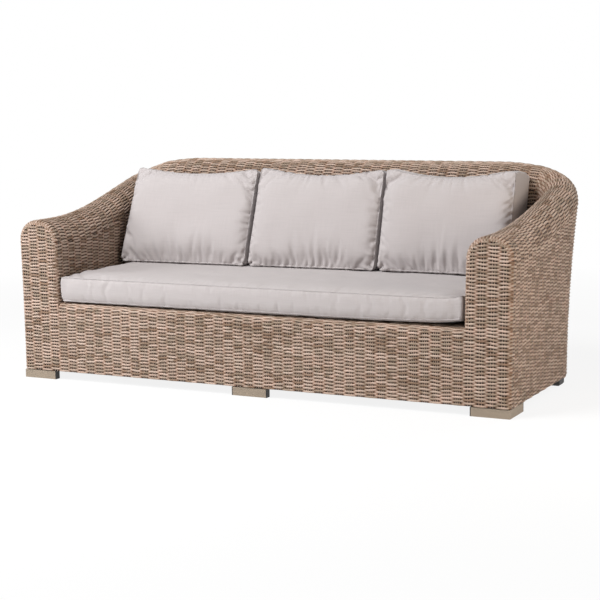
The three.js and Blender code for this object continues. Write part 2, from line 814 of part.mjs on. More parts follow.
// Back cushions: boxed, side by side from the left arm on, each with its share of the room between the arms.
// Each leans by its own angle until it touches the wall, with standing corners, a dip between them and a top
// that falls to the rear.
function addBackCushions() {
  const bottom = seatTop + gap;
  const heights = steps(backCushionTouches, bottom, bottom + backCushionHeight);
  const names = ['left', 'middle', 'right'];
  const gaps = (names.length - 1) * backCushionGap;
  const room = 2 * wellHalfWidth - sideClearance - backCushionSlack - gaps;
  let start = sideClearance - wellHalfWidth;
  backCushionLeans.forEach((degrees, k) => {
    const slope = Math.tan(THREE.MathUtils.degToRad(degrees));
    const stand = Math.min(...heights.map((z) => innerBackAt(z) - slope * z)) - gap;
    const width = room * backCushionShares[k];
    const centre = start + width / 2;
    start += width + backCushionGap;
    const geometry = cushion(backGrid, (u, v, side) => {
      const [s, t] = [packed(u), packed(v)];
      const onFace = Math.abs(side) === 1 ? 1 : 0;
      const halfX = width / 2 - onFace * backCushionDrawIn * (1 - t ** 2);
      const behind = (backCushionThickness * (1 - side)) / 2;
      const top = backCushionHeight - backCushionDip * (1 - s ** 2) - slope * behind;
      const rounded = onFace * backCushionRound * Math.abs(t) ** backCushionRoundPower;
      const z = bottom + mix(t < 0 ? rounded : 0, top - (t > 0 ? rounded : 0), (t + 1) / 2);
      const crown = side === 1 ? backCushionCrown * crownShape(s, t) : 0;
      const y = stand + slope * z - backCushionThickness + behind - crown;
      return new THREE.Vector3(centre + halfX * s, y, z);
    });
    add(`back_cushion_${names[k]}`, geometry, 'linen');
  });
}

addWalls();
addArmFronts();
addFrontPanel();
addDeck();
addBaseFrame();
addHoops();
addSeatFrame();
addCrestRail();
addFeet();
addSeatCushion();
addBackCushions();

// Origin on the floor under the middle of the whole sofa
const bounds = new THREE.Box3().setFromObject(sofa);
sofa.position.y = -(bounds.min.y + bounds.max.y) / 2;

export default sofa;
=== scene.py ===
"""Woven three-seat garden sofa: strands and stakes, stuffed cushions, metal feet and a plain studio."""

import json
import math
import random

import bpy
import numpy as np
from mathutils import Matrix, Vector


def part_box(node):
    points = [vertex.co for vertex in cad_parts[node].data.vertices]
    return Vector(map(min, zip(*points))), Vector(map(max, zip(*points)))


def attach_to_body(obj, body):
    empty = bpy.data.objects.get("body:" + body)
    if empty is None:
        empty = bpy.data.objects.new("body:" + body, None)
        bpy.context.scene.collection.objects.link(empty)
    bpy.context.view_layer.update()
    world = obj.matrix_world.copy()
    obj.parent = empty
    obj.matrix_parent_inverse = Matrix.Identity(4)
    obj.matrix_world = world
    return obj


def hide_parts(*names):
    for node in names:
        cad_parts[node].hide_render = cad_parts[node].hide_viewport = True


bl_info = {
    "name": "Woven Garden Sofa",
    "version": (1, 0, 0),
    "blender": (4, 5, 0),
    "location": "3D View > Sidebar > Sofa",
    "description": "Builds the weave, cushions and feet of a woven garden sofa",
    "category": "Object",
}

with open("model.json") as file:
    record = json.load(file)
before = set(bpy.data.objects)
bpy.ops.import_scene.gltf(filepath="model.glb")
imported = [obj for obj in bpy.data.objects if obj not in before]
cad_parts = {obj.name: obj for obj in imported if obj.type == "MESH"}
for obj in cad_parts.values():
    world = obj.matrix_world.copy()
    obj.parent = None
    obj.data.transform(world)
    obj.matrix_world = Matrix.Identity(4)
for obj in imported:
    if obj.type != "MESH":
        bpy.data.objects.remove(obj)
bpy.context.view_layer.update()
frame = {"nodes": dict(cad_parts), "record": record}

BODY = "sofa"

# Cushions as their solids have them, the back ones' seams drawn in less than there
BACK_CUSHION_HEIGHT = 0.414
BACK_CUSHION_THICKNESS = 0.176
BACK_CUSHION_DIP = 0.028
BACK_CUSHION_DRAW_IN = 0.001
BACK_CUSHION_ROUND = 0.012
SEAT_BOXING = 0.102
SEAT_CORNER = 0.01
SEAT_EDGE = 0.009

# Each back cushion's lean in degrees, how far its top corners stand up, how far its front falls back
# at the lower right, and the slant of its creases
BACK_CUSHIONS = {
    "left": (24, -0.003, 0.028, 0.0),
    "middle": (20, 0.004, 0.028, -0.3),
    "right": (15, 0.01, 0.0, 0.9),
}
BACK_CUSHION_CORNER = 0.022
BACK_CUSHION_EAR = 0.45
BACK_CUSHION_TUCK = 0.012

# How far the unstuffed covers keep from the sides of their solids
BACK_COVER_GAP = 0.001
SEAT_COVER_GAP = 0.002

# The seat cushion's drawn-in seams and its curled right front corner
SEAT_DRAW_IN = 0.004
CURL_TOP = 0.017
CURL_UNDER = 0.02
CURL_TOP_LENGTH = 0.035
CURL_UNDER_LENGTH = 0.125
CURL_DEPTH = 0.08

# Cloth, its seams and the puckers and folds beside them
CLOTH_STEPS = 22
CLOTH = {
    "mass": 0.3,
    "quality": 5,
    "tension_stiffness": 15,
    "compression_stiffness": 15,
    "shear_stiffness": 5,
    "bending_stiffness": 0.4,
    "use_pressure": True,
    "uniform_pressure_force": 5,
    "vertex_group_mass": "Seam",
    "shrink_min": -0.04,
}
SEAM_STEP = 0.0035
SEAM_WELT = 0.0012
PUCKER_REACH = 0.009
PUCKER_SPACING = (0.009, 0.02)
PUCKER_TAIL = 0.2
BOXING_PUCKER = 0.4
PLEAT_REACH = 0.012
SWAY_WAVES = 6
SWAY_RATE = 40
SWAY_REACH = 0.04
SEAM_SPREAD = 2.3 * SEAM_STEP
PLACES = ("s_at", "t_at", "side_at")

# Sizes of the shell, from the frame
panel_low, panel_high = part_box("front_panel_weave")
FRONT = panel_low.y
BOTTOM = panel_low.z
PANEL_TOP = panel_high.z
ARM_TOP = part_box("right_arm_front_weave")[1].z
BACK_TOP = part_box("back_weave")[1].z

# Plan and section of the shell, as its solids have them
HALF_WIDTH = 1.05
ARM_THICKNESS = 0.18
BACK_THICKNESS = 0.15
DEPTH = 0.834
CORNER = 0.18
ARM_LEAN = 0.015
BACK_LEAN = 0.144
ARM_RISE = 0.088
BACK_RISE = 0.092
ROUNDNESS = 2.2
SWEEP_START = 0.087
SWEEP_LENGTH = 1.18
SWEEP_POWER = 1.15
THINNING_START = 0.2
THINNING_LENGTH = 0.6
FRONT_EDGE = 0.018
PANEL_ROLL = 0.02
INNER_BOTTOM = 0.3

# How far the hand-laid rows stray from level, the waves that they stray in, how far above the foot these
# are full, the metres that a radian of the roll's rows stands for, and how long a strand keeps one tone
STRAY = 0.0007
STRAY_WAVES = ((83, 40, 0), (47, -61, 2), (131, 23, 0))
STRAY_RISE = 0.03
ROLL_ARC = 0.09
TONE_RUN = 0.09

# Share of its swing that a strand loses at the shell's front edge, and how fast it loses and regains it
# The wicker's painted recess shade follows this swing, so the front edge is also painted lighter.
EDGE_CALM = 0.5
EDGE_CALM_RISE = 0.004
EDGE_CALM_FALL = 0.01

# Points along a measured arc, arch and face, sides of a strand, its points to each stake group, points of a
# stake on each stretch, and how near in radians the roll's stakes come to its ends
ARC_POINTS = 400
ARCH_POINTS = 90
FACE_POINTS = 900
STRAND_SIDES = 5
STRAND_POINTS = 4
STAKE_POINTS = {"outer": 12, "inner": 10, "roll": 22, "panel": 8, "deck": 6}
ROLL_STAKE_END = 0.02
NORMAL_STEP = 0.0005

WELL = HALF_WIDTH - ARM_THICKNESS
SIDE_RUN = DEPTH - CORNER
BACK_RUN = HALF_WIDTH - CORNER
QUARTER = math.pi / 2

# Distances along the outer foot of the shell from the middle of its front to the middle of its back
RIM_AT = HALF_WIDTH - FRONT_EDGE
SIDE_AT = RIM_AT + QUARTER * FRONT_EDGE
CORNER_AT = SIDE_AT + SIDE_RUN - FRONT_EDGE
BACK_AT = CORNER_AT + QUARTER * CORNER
HALF_LOOP = BACK_AT + BACK_RUN

# Distances along the inner face, from the front of its rounded rim
INNER_CORNER = CORNER - BACK_THICKNESS
INNER_SIDE_AT = QUARTER * FRONT_EDGE
INNER_CORNER_AT = INNER_SIDE_AT + SIDE_RUN - FRONT_EDGE
INNER_BACK_AT = INNER_CORNER_AT + QUARTER * INNER_CORNER
INNER_HALF = INNER_BACK_AT + BACK_RUN

# The studio: half the floor's side, how white it is seen near the sofa, how far off it is all white, the
# strength of the world, and each lamp's place, aim, size, watts and colour
FLOOR_REACH = 14
FLOOR_WHITE = 0.86
WHITE_FROM = 4.0
WORLD_POWER = 0.2
LAMPS = {
    "key": ((-1.2, -2.6, 4.2), (0, 0, 0.4), 1.8, 205, (1, 1, 1)),
    "side": ((-3.5, -2.4, 1.8), (0, 0, 0.4), 1.5, 72, (1, 1, 1)),
    "fill": ((2.5, -0.7, 0.9), (1.0, 0, 0.4), 0.8, 15, (1, 0.87, 0.72)),
    "rear": ((2.3, 3.0, 2.2), (0.3, 0, 0.4), 1.5, 24, (1, 1, 1)),
}


def length(name, description, default):
    return bpy.props.FloatProperty(name=name, description=description, default=default, unit="LENGTH")


def angle(name, description, default):
    return bpy.props.FloatProperty(name=name, description=description, default=default, subtype="ANGLE")


def colour(name, description, *default):
    """A colour, given as its red, green and blue."""
    return bpy.props.FloatVectorProperty(
        name=name,
        description=description,
        default=(*default, 1),
        subtype="COLOR",
        size=4,
    )


class WeaveSizes(bpy.types.PropertyGroup):
    column_count: bpy.props.IntProperty(
        name="Columns",
        description="Stake groups in half of the shell's outer loop",
        default=67,
    )
    row_pitch: length("Row Pitch", "Height of one row of strands", 0.00655)
    strand_radius: length("Strand Radius", "Half the width of a woven strand", 0.004)
    strand_depth: length("Strand Depth", "Half the thickness of a woven strand", 0.0029)
    swing: length("Swing", "How far a strand moves out and in as it passes the stakes", 0.002)
    stake_radius: length("Stake Radius", "Half the width of a stake", 0.0019)
    stake_spacing: length("Stake Spacing", "Distance between the three stakes of a group", 0.0072)
    front_stake_spacing: length(
        "Arm Front Stake Spacing", "Distance between the two stakes of a group on the arms' fronts", 0.0098
    )
    proud: length("Proud", "How far the outermost strands stand out from the solid they cover", 0.002)
    light_tone: colour("Light Strands", "Colour of the lightest strands", 0.65, 0.5, 0.41)
    grey_tone: colour("Weathered Strands", "Colour of the greyer strands", 0.4, 0.3, 0.225)
    dark_tone: colour("Dark Strands", "Colour of the darkest strands", 0.3, 0.19, 0.125)


class CushionSizes(bpy.types.PropertyGroup):
    linen: colour("Linen", "Main colour of the cushion covers", 0.485, 0.446, 0.444)


class StageSizes(bpy.types.PropertyGroup):
    camera_place: bpy.props.FloatVectorProperty(
        name="Camera Place",
        description="Where the camera stands",
        default=(2.76757, -5.58938, 1.19452),
        subtype="TRANSLATION",
        unit="LENGTH",
    )
    camera_yaw: angle("Camera Turn", "How far the camera looks to the left of the sofa's depth", 0.461567)
    camera_pitch: angle("Camera Tilt", "How far the camera looks down", 0.140654)
    camera_roll: angle("Camera Roll", "How far the camera leans clockwise", 0.012744)
    focal_length: bpy.props.FloatProperty(
        name="Focal Length",
        description="Lens of the camera on a 36 mm sensor, in millimetres",
        default=92.61,
    )


def smooth(t):
    s = np.clip(t, 0, 1)
    return s * s * (3 - 2 * s)


def lean_at(height):
    return (np.maximum(height - BOTTOM, 0) / (BACK_TOP - BOTTOM)) ** 2


def wall_point(station, height, inset):
    """Point of the wall's right half: station is 0 to 1 on the arm, to 2 round the corner, to 3 behind."""
    station, height, inset = np.broadcast_arrays(station, height, inset)
    lean = lean_at(height)
    along = np.clip(station, 0, 1)
    angle = np.clip(station - 1, 0, 1) * QUARTER
    across = (BACK_RUN + ARM_LEAN * lean) * (1 - np.clip(station - 2, 0, 1))
    straight = SIDE_RUN * along + BACK_LEAN * lean * along**2
    reach = CORNER - inset
    y = FRONT + straight + reach * np.sin(angle)
    return np.stack([across + reach * np.cos(angle), y, height], -1)


def run_at(station):
    along = np.clip(station, 0, 1)
    arm = SIDE_RUN * along + BACK_LEAN * along**2
    corner = CORNER * QUARTER * np.clip(station - 1, 0, 1)
    return arm + corner + (BACK_RUN + ARM_LEAN) * np.clip(station - 2, 0, 1)


def thinning(station):
    return smooth((run_at(station) - THINNING_START) / THINNING_LENGTH)


def thickness_at(station):
    return ARM_THICKNESS + (BACK_THICKNESS - ARM_THICKNESS) * thinning(station)


def rise_at(station):
    return ARM_RISE + (BACK_RISE - ARM_RISE) * thinning(station)


def crest_at(station):
    share = np.maximum((run_at(station) - SWEEP_START) / SWEEP_LENGTH, 0) ** SWEEP_POWER
    return ARM_TOP + (BACK_TOP - ARM_TOP) * smooth(share)


def spring_at(station):
    return crest_at(station) - rise_at(station)


def outer_station(u):
    marks = [SIDE_AT - FRONT_EDGE, CORNER_AT, BACK_AT, HALF_LOOP]
    return np.interp(u, marks, [0, 1, 2, 3])


def inner_station(w):
    marks = [INNER_SIDE_AT - FRONT_EDGE, INNER_CORNER_AT, INNER_BACK_AT, INNER_HALF]
    return np.interp(w, marks, [0, 1, 2, 3])


def mirrored(function, u, turn_point):
    """Whole loop from a function of its right half: past the turning point, the left half runs back."""
    u = np.asarray(u, float)
    left = (u > turn_point) | (u < 0)
    folded = np.where(u > turn_point, 2 * turn_point - u, np.abs(u))
    points = function(folded)
    points[..., 0] = np.where(left, -points[..., 0], points[..., 0])
    return points


def round_edge(distance):
    """Angle round the wall's front edge at a distance along it, and how far back the edge is there."""
    angle = np.clip(distance / FRONT_EDGE, 0, QUARTER)
    return angle, FRONT + FRONT_EDGE * (1 - np.cos(angle))


def outer_point(u, height):
    """The outer face: front panel, arm's front, rounded edge, side, corner and back."""

    def right(u):
        height_here = np.broadcast_to(height, u.shape)
        lean = ARM_LEAN * lean_at(height_here)
        slide = np.where(u < WELL, 0, lean)
        angle, rim_y = round_edge(u - RIM_AT)
        flat = np.stack([u + slide, np.full(u.shape, FRONT), height_here], -1)
        rim = np.stack([RIM_AT + lean + FRONT_EDGE * np.sin(angle), rim_y, height_here], -1)
        wall = wall_point(outer_station(u), height_here, 0)
        return np.where((u < RIM_AT)[..., None], flat, np.where((u < SIDE_AT)[..., None], rim, wall))

    return mirrored(right, u, HALF_LOOP)


def section_arc(station, t, edge=0.0):
    """Inset and height of the rolled top at angle t, 0 outside to pi inside, drawn in by an edge."""
    radius = thickness_at(station) / 2
    power = 2 / ROUNDNESS
    across = np.sign(np.cos(t)) * np.abs(np.cos(t)) ** power
    up = np.abs(np.sin(t)) ** power
    inset, height = radius - radius * across, spring_at(station) + rise_at(station) * up
    out = np.stack([radius - inset, height - spring_at(station)], -1)
    out = out / np.linalg.norm(out, axis=-1, keepdims=True)
    return inset + out[..., 0] * edge, height - out[..., 1] * edge


def roll_point(u, t):
    """The rolled top, from the flat front of the arm over its rounded rim and along the wall."""

    def right(u):
        t_here = np.broadcast_to(t, u.shape)
        angle, rim_y = round_edge(u - RIM_AT)
        station = outer_station(u)
        inset, height = section_arc(np.zeros(u.shape), t_here, FRONT_EDGE * (1 - np.sin(angle)))
        rim = wall_point(0, height, inset)
        rim[..., 1] = rim_y
        inset, height = section_arc(station, t_here)
        return np.where((u < SIDE_AT)[..., None], rim, wall_point(station, height, inset))

    return mirrored(right, u, HALF_LOOP)


def inner_point(w, height):
    """The inner face, from the rounded inner edge of the arm's front along the arm, corner and back."""

    def right(w):
        height_here = np.broadcast_to(height, w.shape)
        lean = ARM_LEAN * lean_at(height_here)
        angle, rim_y = round_edge(w)
        rim = np.stack([WELL + lean + FRONT_EDGE * (1 - np.sin(angle)), rim_y, height_here], -1)
        station = inner_station(w)
        wall = wall_point(station, height_here, thickness_at(station))
        return np.where((w < INNER_SIDE_AT)[..., None], rim, wall)

    return mirrored(right, np.maximum(w, 0), INNER_HALF)


def panel_roll_point(x, distance):
    """The top of the front panel, rolled back over its rail."""
    angle = np.clip(distance / PANEL_ROLL, 0, QUARTER)
    beyond = np.maximum(distance - QUARTER * PANEL_ROLL, 0)
    y = FRONT + PANEL_ROLL * (1 - np.cos(angle)) + beyond
    return np.stack(np.broadcast_arrays(x, y, PANEL_TOP - PANEL_ROLL * (1 - np.sin(angle))), -1)


def arch_outline():
    """x and height along the edge of an arm's flat front, from its outer to its inner side."""
    t = np.linspace(0, math.pi, ARCH_POINTS)
    inset, arch = section_arc(np.zeros(t.shape), t, FRONT_EDGE)
    return wall_point(0, arch, inset)[:, 0], arch


def arch_ends(height):
    """Where the flat front of an arm begins and ends at some height, between its rounded edges."""
    x, arch = arch_outline()
    top = int(arch.argmax())
    outer = np.interp(height, arch[: top + 1], x[: top + 1])
    inner = np.interp(height, arch[top:][::-1], x[top:][::-1])
    return inner, outer


def outward(function, u, v, flip):
    """Normals of a surface, from small steps along and across it, and how far a step along goes."""
    step = NORMAL_STEP
    along = function(u + step, v) - function(u - step, v)
    across = function(u, v + step) - function(u, v - step)
    normal = np.cross(along, across) * flip
    normal = normal / np.maximum(np.linalg.norm(normal, axis=-1, keepdims=True), 1e-9)
    return normal, np.linalg.norm(along, axis=-1) / (2 * step)


def stray(points):
    """How far a hand-laid row strays from level at some points, alike on both halves."""
    along, height = np.abs(points[:, 0]) + points[:, 1], points[:, 2]
    waves = sum(np.sin(a * along + b * height + phase) for a, b, phase in STRAY_WAVES)
    return STRAY * waves * smooth((height - BOTTOM) / STRAY_RISE)


def steady(points):
    """Share of its swing that a strand keeps, less where it is drawn tight round the front edge, where its
    painted recess shade is lighter too.
    """
    behind = points[:, 1] - FRONT
    regained = smooth((behind - FRONT_EDGE) / EDGE_CALM_FALL)
    return 1 - EDGE_CALM * smooth(behind / EDGE_CALM_RISE) * (1 - regained)


def read(data, key, width):
    """Values that the points of a mesh have, in rows."""
    values = np.empty(len(data) * width)
    data.foreach_get(key, values)
    return values.reshape(-1, width)


def attach(mesh, values):
    """Gives a mesh's points a number each under some names."""
    for key, numbers in values.items():
        mesh.attributes.new(key, "FLOAT", "POINT").data.foreach_set("value", numbers)


class Guides:
    """Centre lines of strands and stakes, with what the tree needs at each of their points."""

    def __init__(self, seed, thin):
        self.lines = []
        self.thin = thin
        self.random = random.Random(seed)

    def strand(self, function, stops, v, turn, row, flip=1, arc=1.0):
        """A strand along the surface, straying a little, its tone changing every few centimetres."""
        u = np.asarray(stops, float)
        v = v + stray(function(u, v)) / arc
        points = function(u, v)
        normal, stretch = outward(function, u, v, flip)
        tones = self.tones(len(u), np.abs(u[-1] - u[0]) / max(len(u) - 1, 1))
        calm = np.minimum(stretch, 1) * steady(points)
        self.lines.append((points, normal, turn(u) + row, calm, np.ones(len(u)), tones))

    def stake(self, function, u, stops, flip=1):
        v = np.asarray(stops, float)
        across = np.full(v.shape, u)
        points = function(across, v)
        normal = outward(function, across, v, flip)[0]
        tones = np.full(len(v), self.random.uniform(0.75, 1))
        still = np.zeros(len(v))
        self.lines.append((points, normal, still, still, np.full(len(v), self.thin), tones))

    def tones(self, count, spacing):
        tones = np.empty(count)
        start = 0
        while start < count:
            run = max(2, int(self.random.uniform(0.4, 1.6) * TONE_RUN / max(spacing, 1e-4)))
            tones[start : start + run] = self.random.random()
            start += run
        return tones

    def mesh(self, name):
        mesh = bpy.data.meshes.new(name)
        sizes = [len(line[0]) for line in self.lines]
        starts = np.cumsum([0] + sizes[:-1])
        runs = [start + np.arange(size) for start, size in zip(starts, sizes)]
        edges = np.concatenate([np.stack([run[:-1], run[1:]], 1) for run in runs])
        columns = [np.concatenate([line[i] for line in self.lines]) for i in range(6)]
        points, normals, *values = columns
        mesh.from_pydata(points, edges, [])
        mesh.attributes.new("out", "FLOAT_VECTOR", "POINT").data.foreach_set("vector", normals.ravel())
        attach(mesh, dict(zip(("turn", "calm", "thin", "tone"), values)))
        return mesh


def stops(start, end, pitch):
    """Where a strand has its points: a few to each stake group, and its two ends."""
    step = pitch / STRAND_POINTS
    inner = np.arange(math.ceil(start / step + 0.01), math.floor(end / step - 0.01) + 1) * step
    return np.concatenate([[start], inner, [end]])


def rows_of(low, high, pitch):
    """Row numbers and heights between two heights, counted from the shell's foot."""
    first, last = math.ceil((low - BOTTOM) / pitch - 0.5), math.floor((high - BOTTOM) / pitch - 0.5)
    rows = np.arange(first, last + 1)
    return [(int(row), BOTTOM + (row + 0.5) * pitch) for row in rows]


def roll_angles(sizes):
    """Angles of the rows over the roll, evenly spread along the arc that it has at the arm's front."""
    t = np.linspace(0, math.pi, ARC_POINTS)
    inset, height = section_arc(np.zeros(t.shape), t)
    length = np.concatenate([[0], np.cumsum(np.hypot(np.diff(inset), np.diff(height)))])
    count = round(length[-1] / sizes.row_pitch)
    return np.interp((np.arange(count) + 0.5) / count * length[-1], length, t)


class Face:
    """One face of the wall: its surface, foot and stakes, and where the roll begins above it."""

    def __init__(self, point, station, start, half, foot, flip):
        self.point, self.foot, self.flip = point, foot, flip
        self.loop = 2 * half
        self.marks = np.linspace(start, half, FACE_POINTS)
        self.spring = spring_at(station(self.marks))

    def lay_out(self, pitch, turn, first_turn, stake_points):
        self.pitch, self.turn, self.first_turn, self.stake_points = pitch, turn, first_turn, stake_points


class Weave:
    """Lays strands and stakes over each stretch of the shell and makes pieces of them."""

    def __init__(self, sizes):
        self.sizes = sizes
        self.tree = weaving_tree()
        self.finish = wicker_finish(sizes)
        self.thin = sizes.stake_radius / sizes.strand_radius
        self.pitch = HALF_LOOP / sizes.column_count
        self.rim_turn = (WELL + FRONT_EDGE) / self.pitch
        self.inner_pitch = INNER_HALF / (self.rim_turn + round(INNER_HALF / self.pitch - self.rim_turn))
        self.outer = Face(outer_point, outer_station, SIDE_AT, HALF_LOOP, BOTTOM, 1)
        self.outer.lay_out(self.pitch, self.outer_turn, 0.0, STAKE_POINTS["outer"])
        self.inner = Face(inner_point, inner_station, INNER_SIDE_AT, INNER_HALF, INNER_BOTTOM, -1)
        first_turn = round(self.rim_turn) - self.rim_turn
        self.inner.lay_out(self.inner_pitch, self.inner_turn, first_turn, STAKE_POINTS["inner"])

    def outer_turn(self, u):
        return np.abs(u) / self.pitch

    def inner_turn(self, w):
        return self.rim_turn - np.minimum(w, 2 * INNER_HALF - w) / self.inner_pitch

    def stake_places(self, start, end, pitch, first_turn=0.0, spread=None):
        """Places of the stakes between two distances: three to a group, or two with their own spread."""
        first, last = math.floor(start / pitch + first_turn), math.ceil(end / pitch + first_turn)
        groups = np.arange(first - 1, last + 2)
        spacing = self.sizes.stake_spacing
        shifts = (-spread / 2, spread / 2) if spread else (-spacing, 0, spacing)
        places = [(group - first_turn) * pitch + shift for group in groups for shift in shifts]
        return [place for place in places if start <= place < end]

    def wall(self, guides, face, start, end):
        """Level rows of a face of the wall, each from where the roll begins above it, and its stakes."""
        for row, height in rows_of(face.foot, float(face.spring.max()), self.sizes.row_pitch):
            clip = float(np.interp(height, face.spring, face.marks))
            low, high = max(start, clip), min(end, face.loop - clip)
            if high - low > self.pitch / 8:
                places = stops(low, high, face.pitch)
                guides.strand(face.point, places, height, face.turn, row, face.flip)
        for u in self.stake_places(start, end, face.pitch, face.first_turn):
            top = float(np.interp(min(u, face.loop - u), face.marks, face.spring))
            guides.stake(face.point, u, np.linspace(face.foot, top, face.stake_points), face.flip)

    def roll_rows(self, guides, start, end):
        places = stops(start, end, self.pitch)
        for row, angle in enumerate(roll_angles(self.sizes)):
            guides.strand(roll_point, places, angle, self.outer_turn, row, arc=ROLL_ARC)

    def roll(self, guides, start, end):
        """Rows and stakes over the roll."""
        self.roll_rows(guides, start, end)
        angles = np.linspace(ROLL_STAKE_END, math.pi - ROLL_STAKE_END, STAKE_POINTS["roll"])
        for u in self.stake_places(start, end, self.pitch):
            guides.stake(roll_point, u, angles)

    def panel(self, guides):
        """Front panel: rows up its face and over the roll on its rail."""
        flat = PANEL_TOP - PANEL_ROLL
        pitch = self.sizes.row_pitch
        count = round((flat - BOTTOM + QUARTER * PANEL_ROLL + FRONT_EDGE) / pitch)
        places = stops(-WELL, WELL, self.pitch)

        def face(x, distance):
            x, distance = np.broadcast_arrays(x, distance)
            rolled = panel_roll_point(x, distance - (flat - BOTTOM))
            upright = np.stack([x, np.full(x.shape, FRONT), BOTTOM + distance], -1)
            return np.where((distance < flat - BOTTOM)[..., None], upright, rolled)

        for row in range(count):
            guides.strand(face, places, (row + 0.5) * pitch, self.outer_turn, row)
        rise = np.linspace(flat - BOTTOM, count * pitch, STAKE_POINTS["panel"])
        for x in self.stake_places(-WELL, WELL, self.pitch):
            guides.stake(face, x, np.append(0, rise))

    def deck(self, guides):
        """Seat deck: strands from arm to arm over stakes twice as far apart."""
        low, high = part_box("seat_deck_weave")
        pitch = 2 * self.pitch

        def flat(x, y):
            x, y = np.broadcast_arrays(x, y)
            return np.stack([x, y, np.full(x.shape, high.z - self.sizes.proud)], -1)

        count = math.floor((high.y - low.y) / self.sizes.row_pitch)
        for row in range(count):
            y = low.y + (row + 0.5) * (high.y - low.y) / count
            guides.strand(flat, stops(low.x, high.x, pitch), y, lambda x: np.abs(x) / pitch, row)
        for x in self.stake_places(low.x, high.x, pitch):
            guides.stake(flat, x, np.linspace(low.y, high.y, STAKE_POINTS["deck"]))

    def arm_front(self, guides):
        """Arched front of the right arm, with the rounded rim that its side, roll and inner face end on."""
        crown = float(self.outer.spring[0])
        pitch = self.sizes.row_pitch
        for row, height in rows_of(BOTTOM, ARM_TOP - FRONT_EDGE, pitch):
            low, high = WELL if height < PANEL_TOP else WELL + FRONT_EDGE, SIDE_AT
            if height >= crown:
                lean = ARM_LEAN * float(lean_at(height))
                low, high = (float(edge) - lean for edge in arch_ends(height))
            if high - low > self.pitch / 4:
                guides.strand(outer_point, stops(low, high, self.pitch), height, self.outer_turn, row)
        rim = np.linspace(0, INNER_SIDE_AT, STRAND_POINTS + 1)
        for row, height in rows_of(PANEL_TOP, crown, pitch):
            guides.strand(inner_point, rim, height, self.inner_turn, row, -1)
        self.roll_rows(guides, RIM_AT, SIDE_AT)
        x, arch = arch_outline()
        x = x - ARM_LEAN * lean_at(arch)
        for u in self.stake_places(WELL, SIDE_AT, self.pitch, spread=self.sizes.front_stake_spacing):
            top = float(np.interp(u, x[::-1], arch[::-1])) if u < RIM_AT else crown
            guides.stake(outer_point, u, np.linspace(BOTTOM, top, STAKE_POINTS["outer"]))

    def piece(self, name, guides_mesh, nodes=()):
        """A piece of the shell from its guide mesh, which may stand for some of its nodes."""
        sizes = self.sizes
        inputs = {
            "Strand Radius": sizes.strand_radius,
            "Swing": sizes.swing,
            "Depth": sizes.swing + sizes.strand_depth - sizes.proud,
            "Flatness": sizes.strand_depth / sizes.strand_radius,
            "Sides": STRAND_SIDES,
            "Finish": self.finish,
        }
        piece = made_by_tree(name, guides_mesh, self.tree, inputs)
        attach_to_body(piece, BODY)
        if nodes:
            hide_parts(*nodes)


class Tree:
    """Short forms for adding and joining the nodes of a material, a world or a geometry tree."""

    def __init__(self, tree):
        self.nodes, self.links = tree.nodes, tree.links

    def feed(self, node, inputs):
        """Sets or joins inputs of a node, by their names or places."""
        for key, value in inputs.items():
            if isinstance(value, bpy.types.NodeSocket):
                self.links.new(value, node.inputs[key])
            else:
                node.inputs[key].default_value = value

    def node(self, kind, inputs, output=0, **settings):
        """Adds a node and gives one of its outputs."""
        node = self.nodes.new(kind)
        for key, value in settings.items():
            setattr(node, key, value)
        self.feed(node, inputs)
        return node.outputs[output]

    def maths(self, operation, *values):
        return self.node("ShaderNodeMath", dict(enumerate(values)), operation=operation)


def new_group(name, kind, inputs, outputs):
    """A node group with named inputs, each a kind of socket and a value, and named outputs, each a kind."""
    group = bpy.data.node_groups.new(name, kind)
    for key, (socket_kind, value) in inputs.items():
        socket = group.interface.new_socket(key, in_out="INPUT", socket_type="NodeSocket" + socket_kind)
        if value is not None:
            socket.default_value = value
    for key, socket_kind in outputs.items():
        group.interface.new_socket(key, in_out="OUTPUT", socket_type="NodeSocket" + socket_kind)
    return group


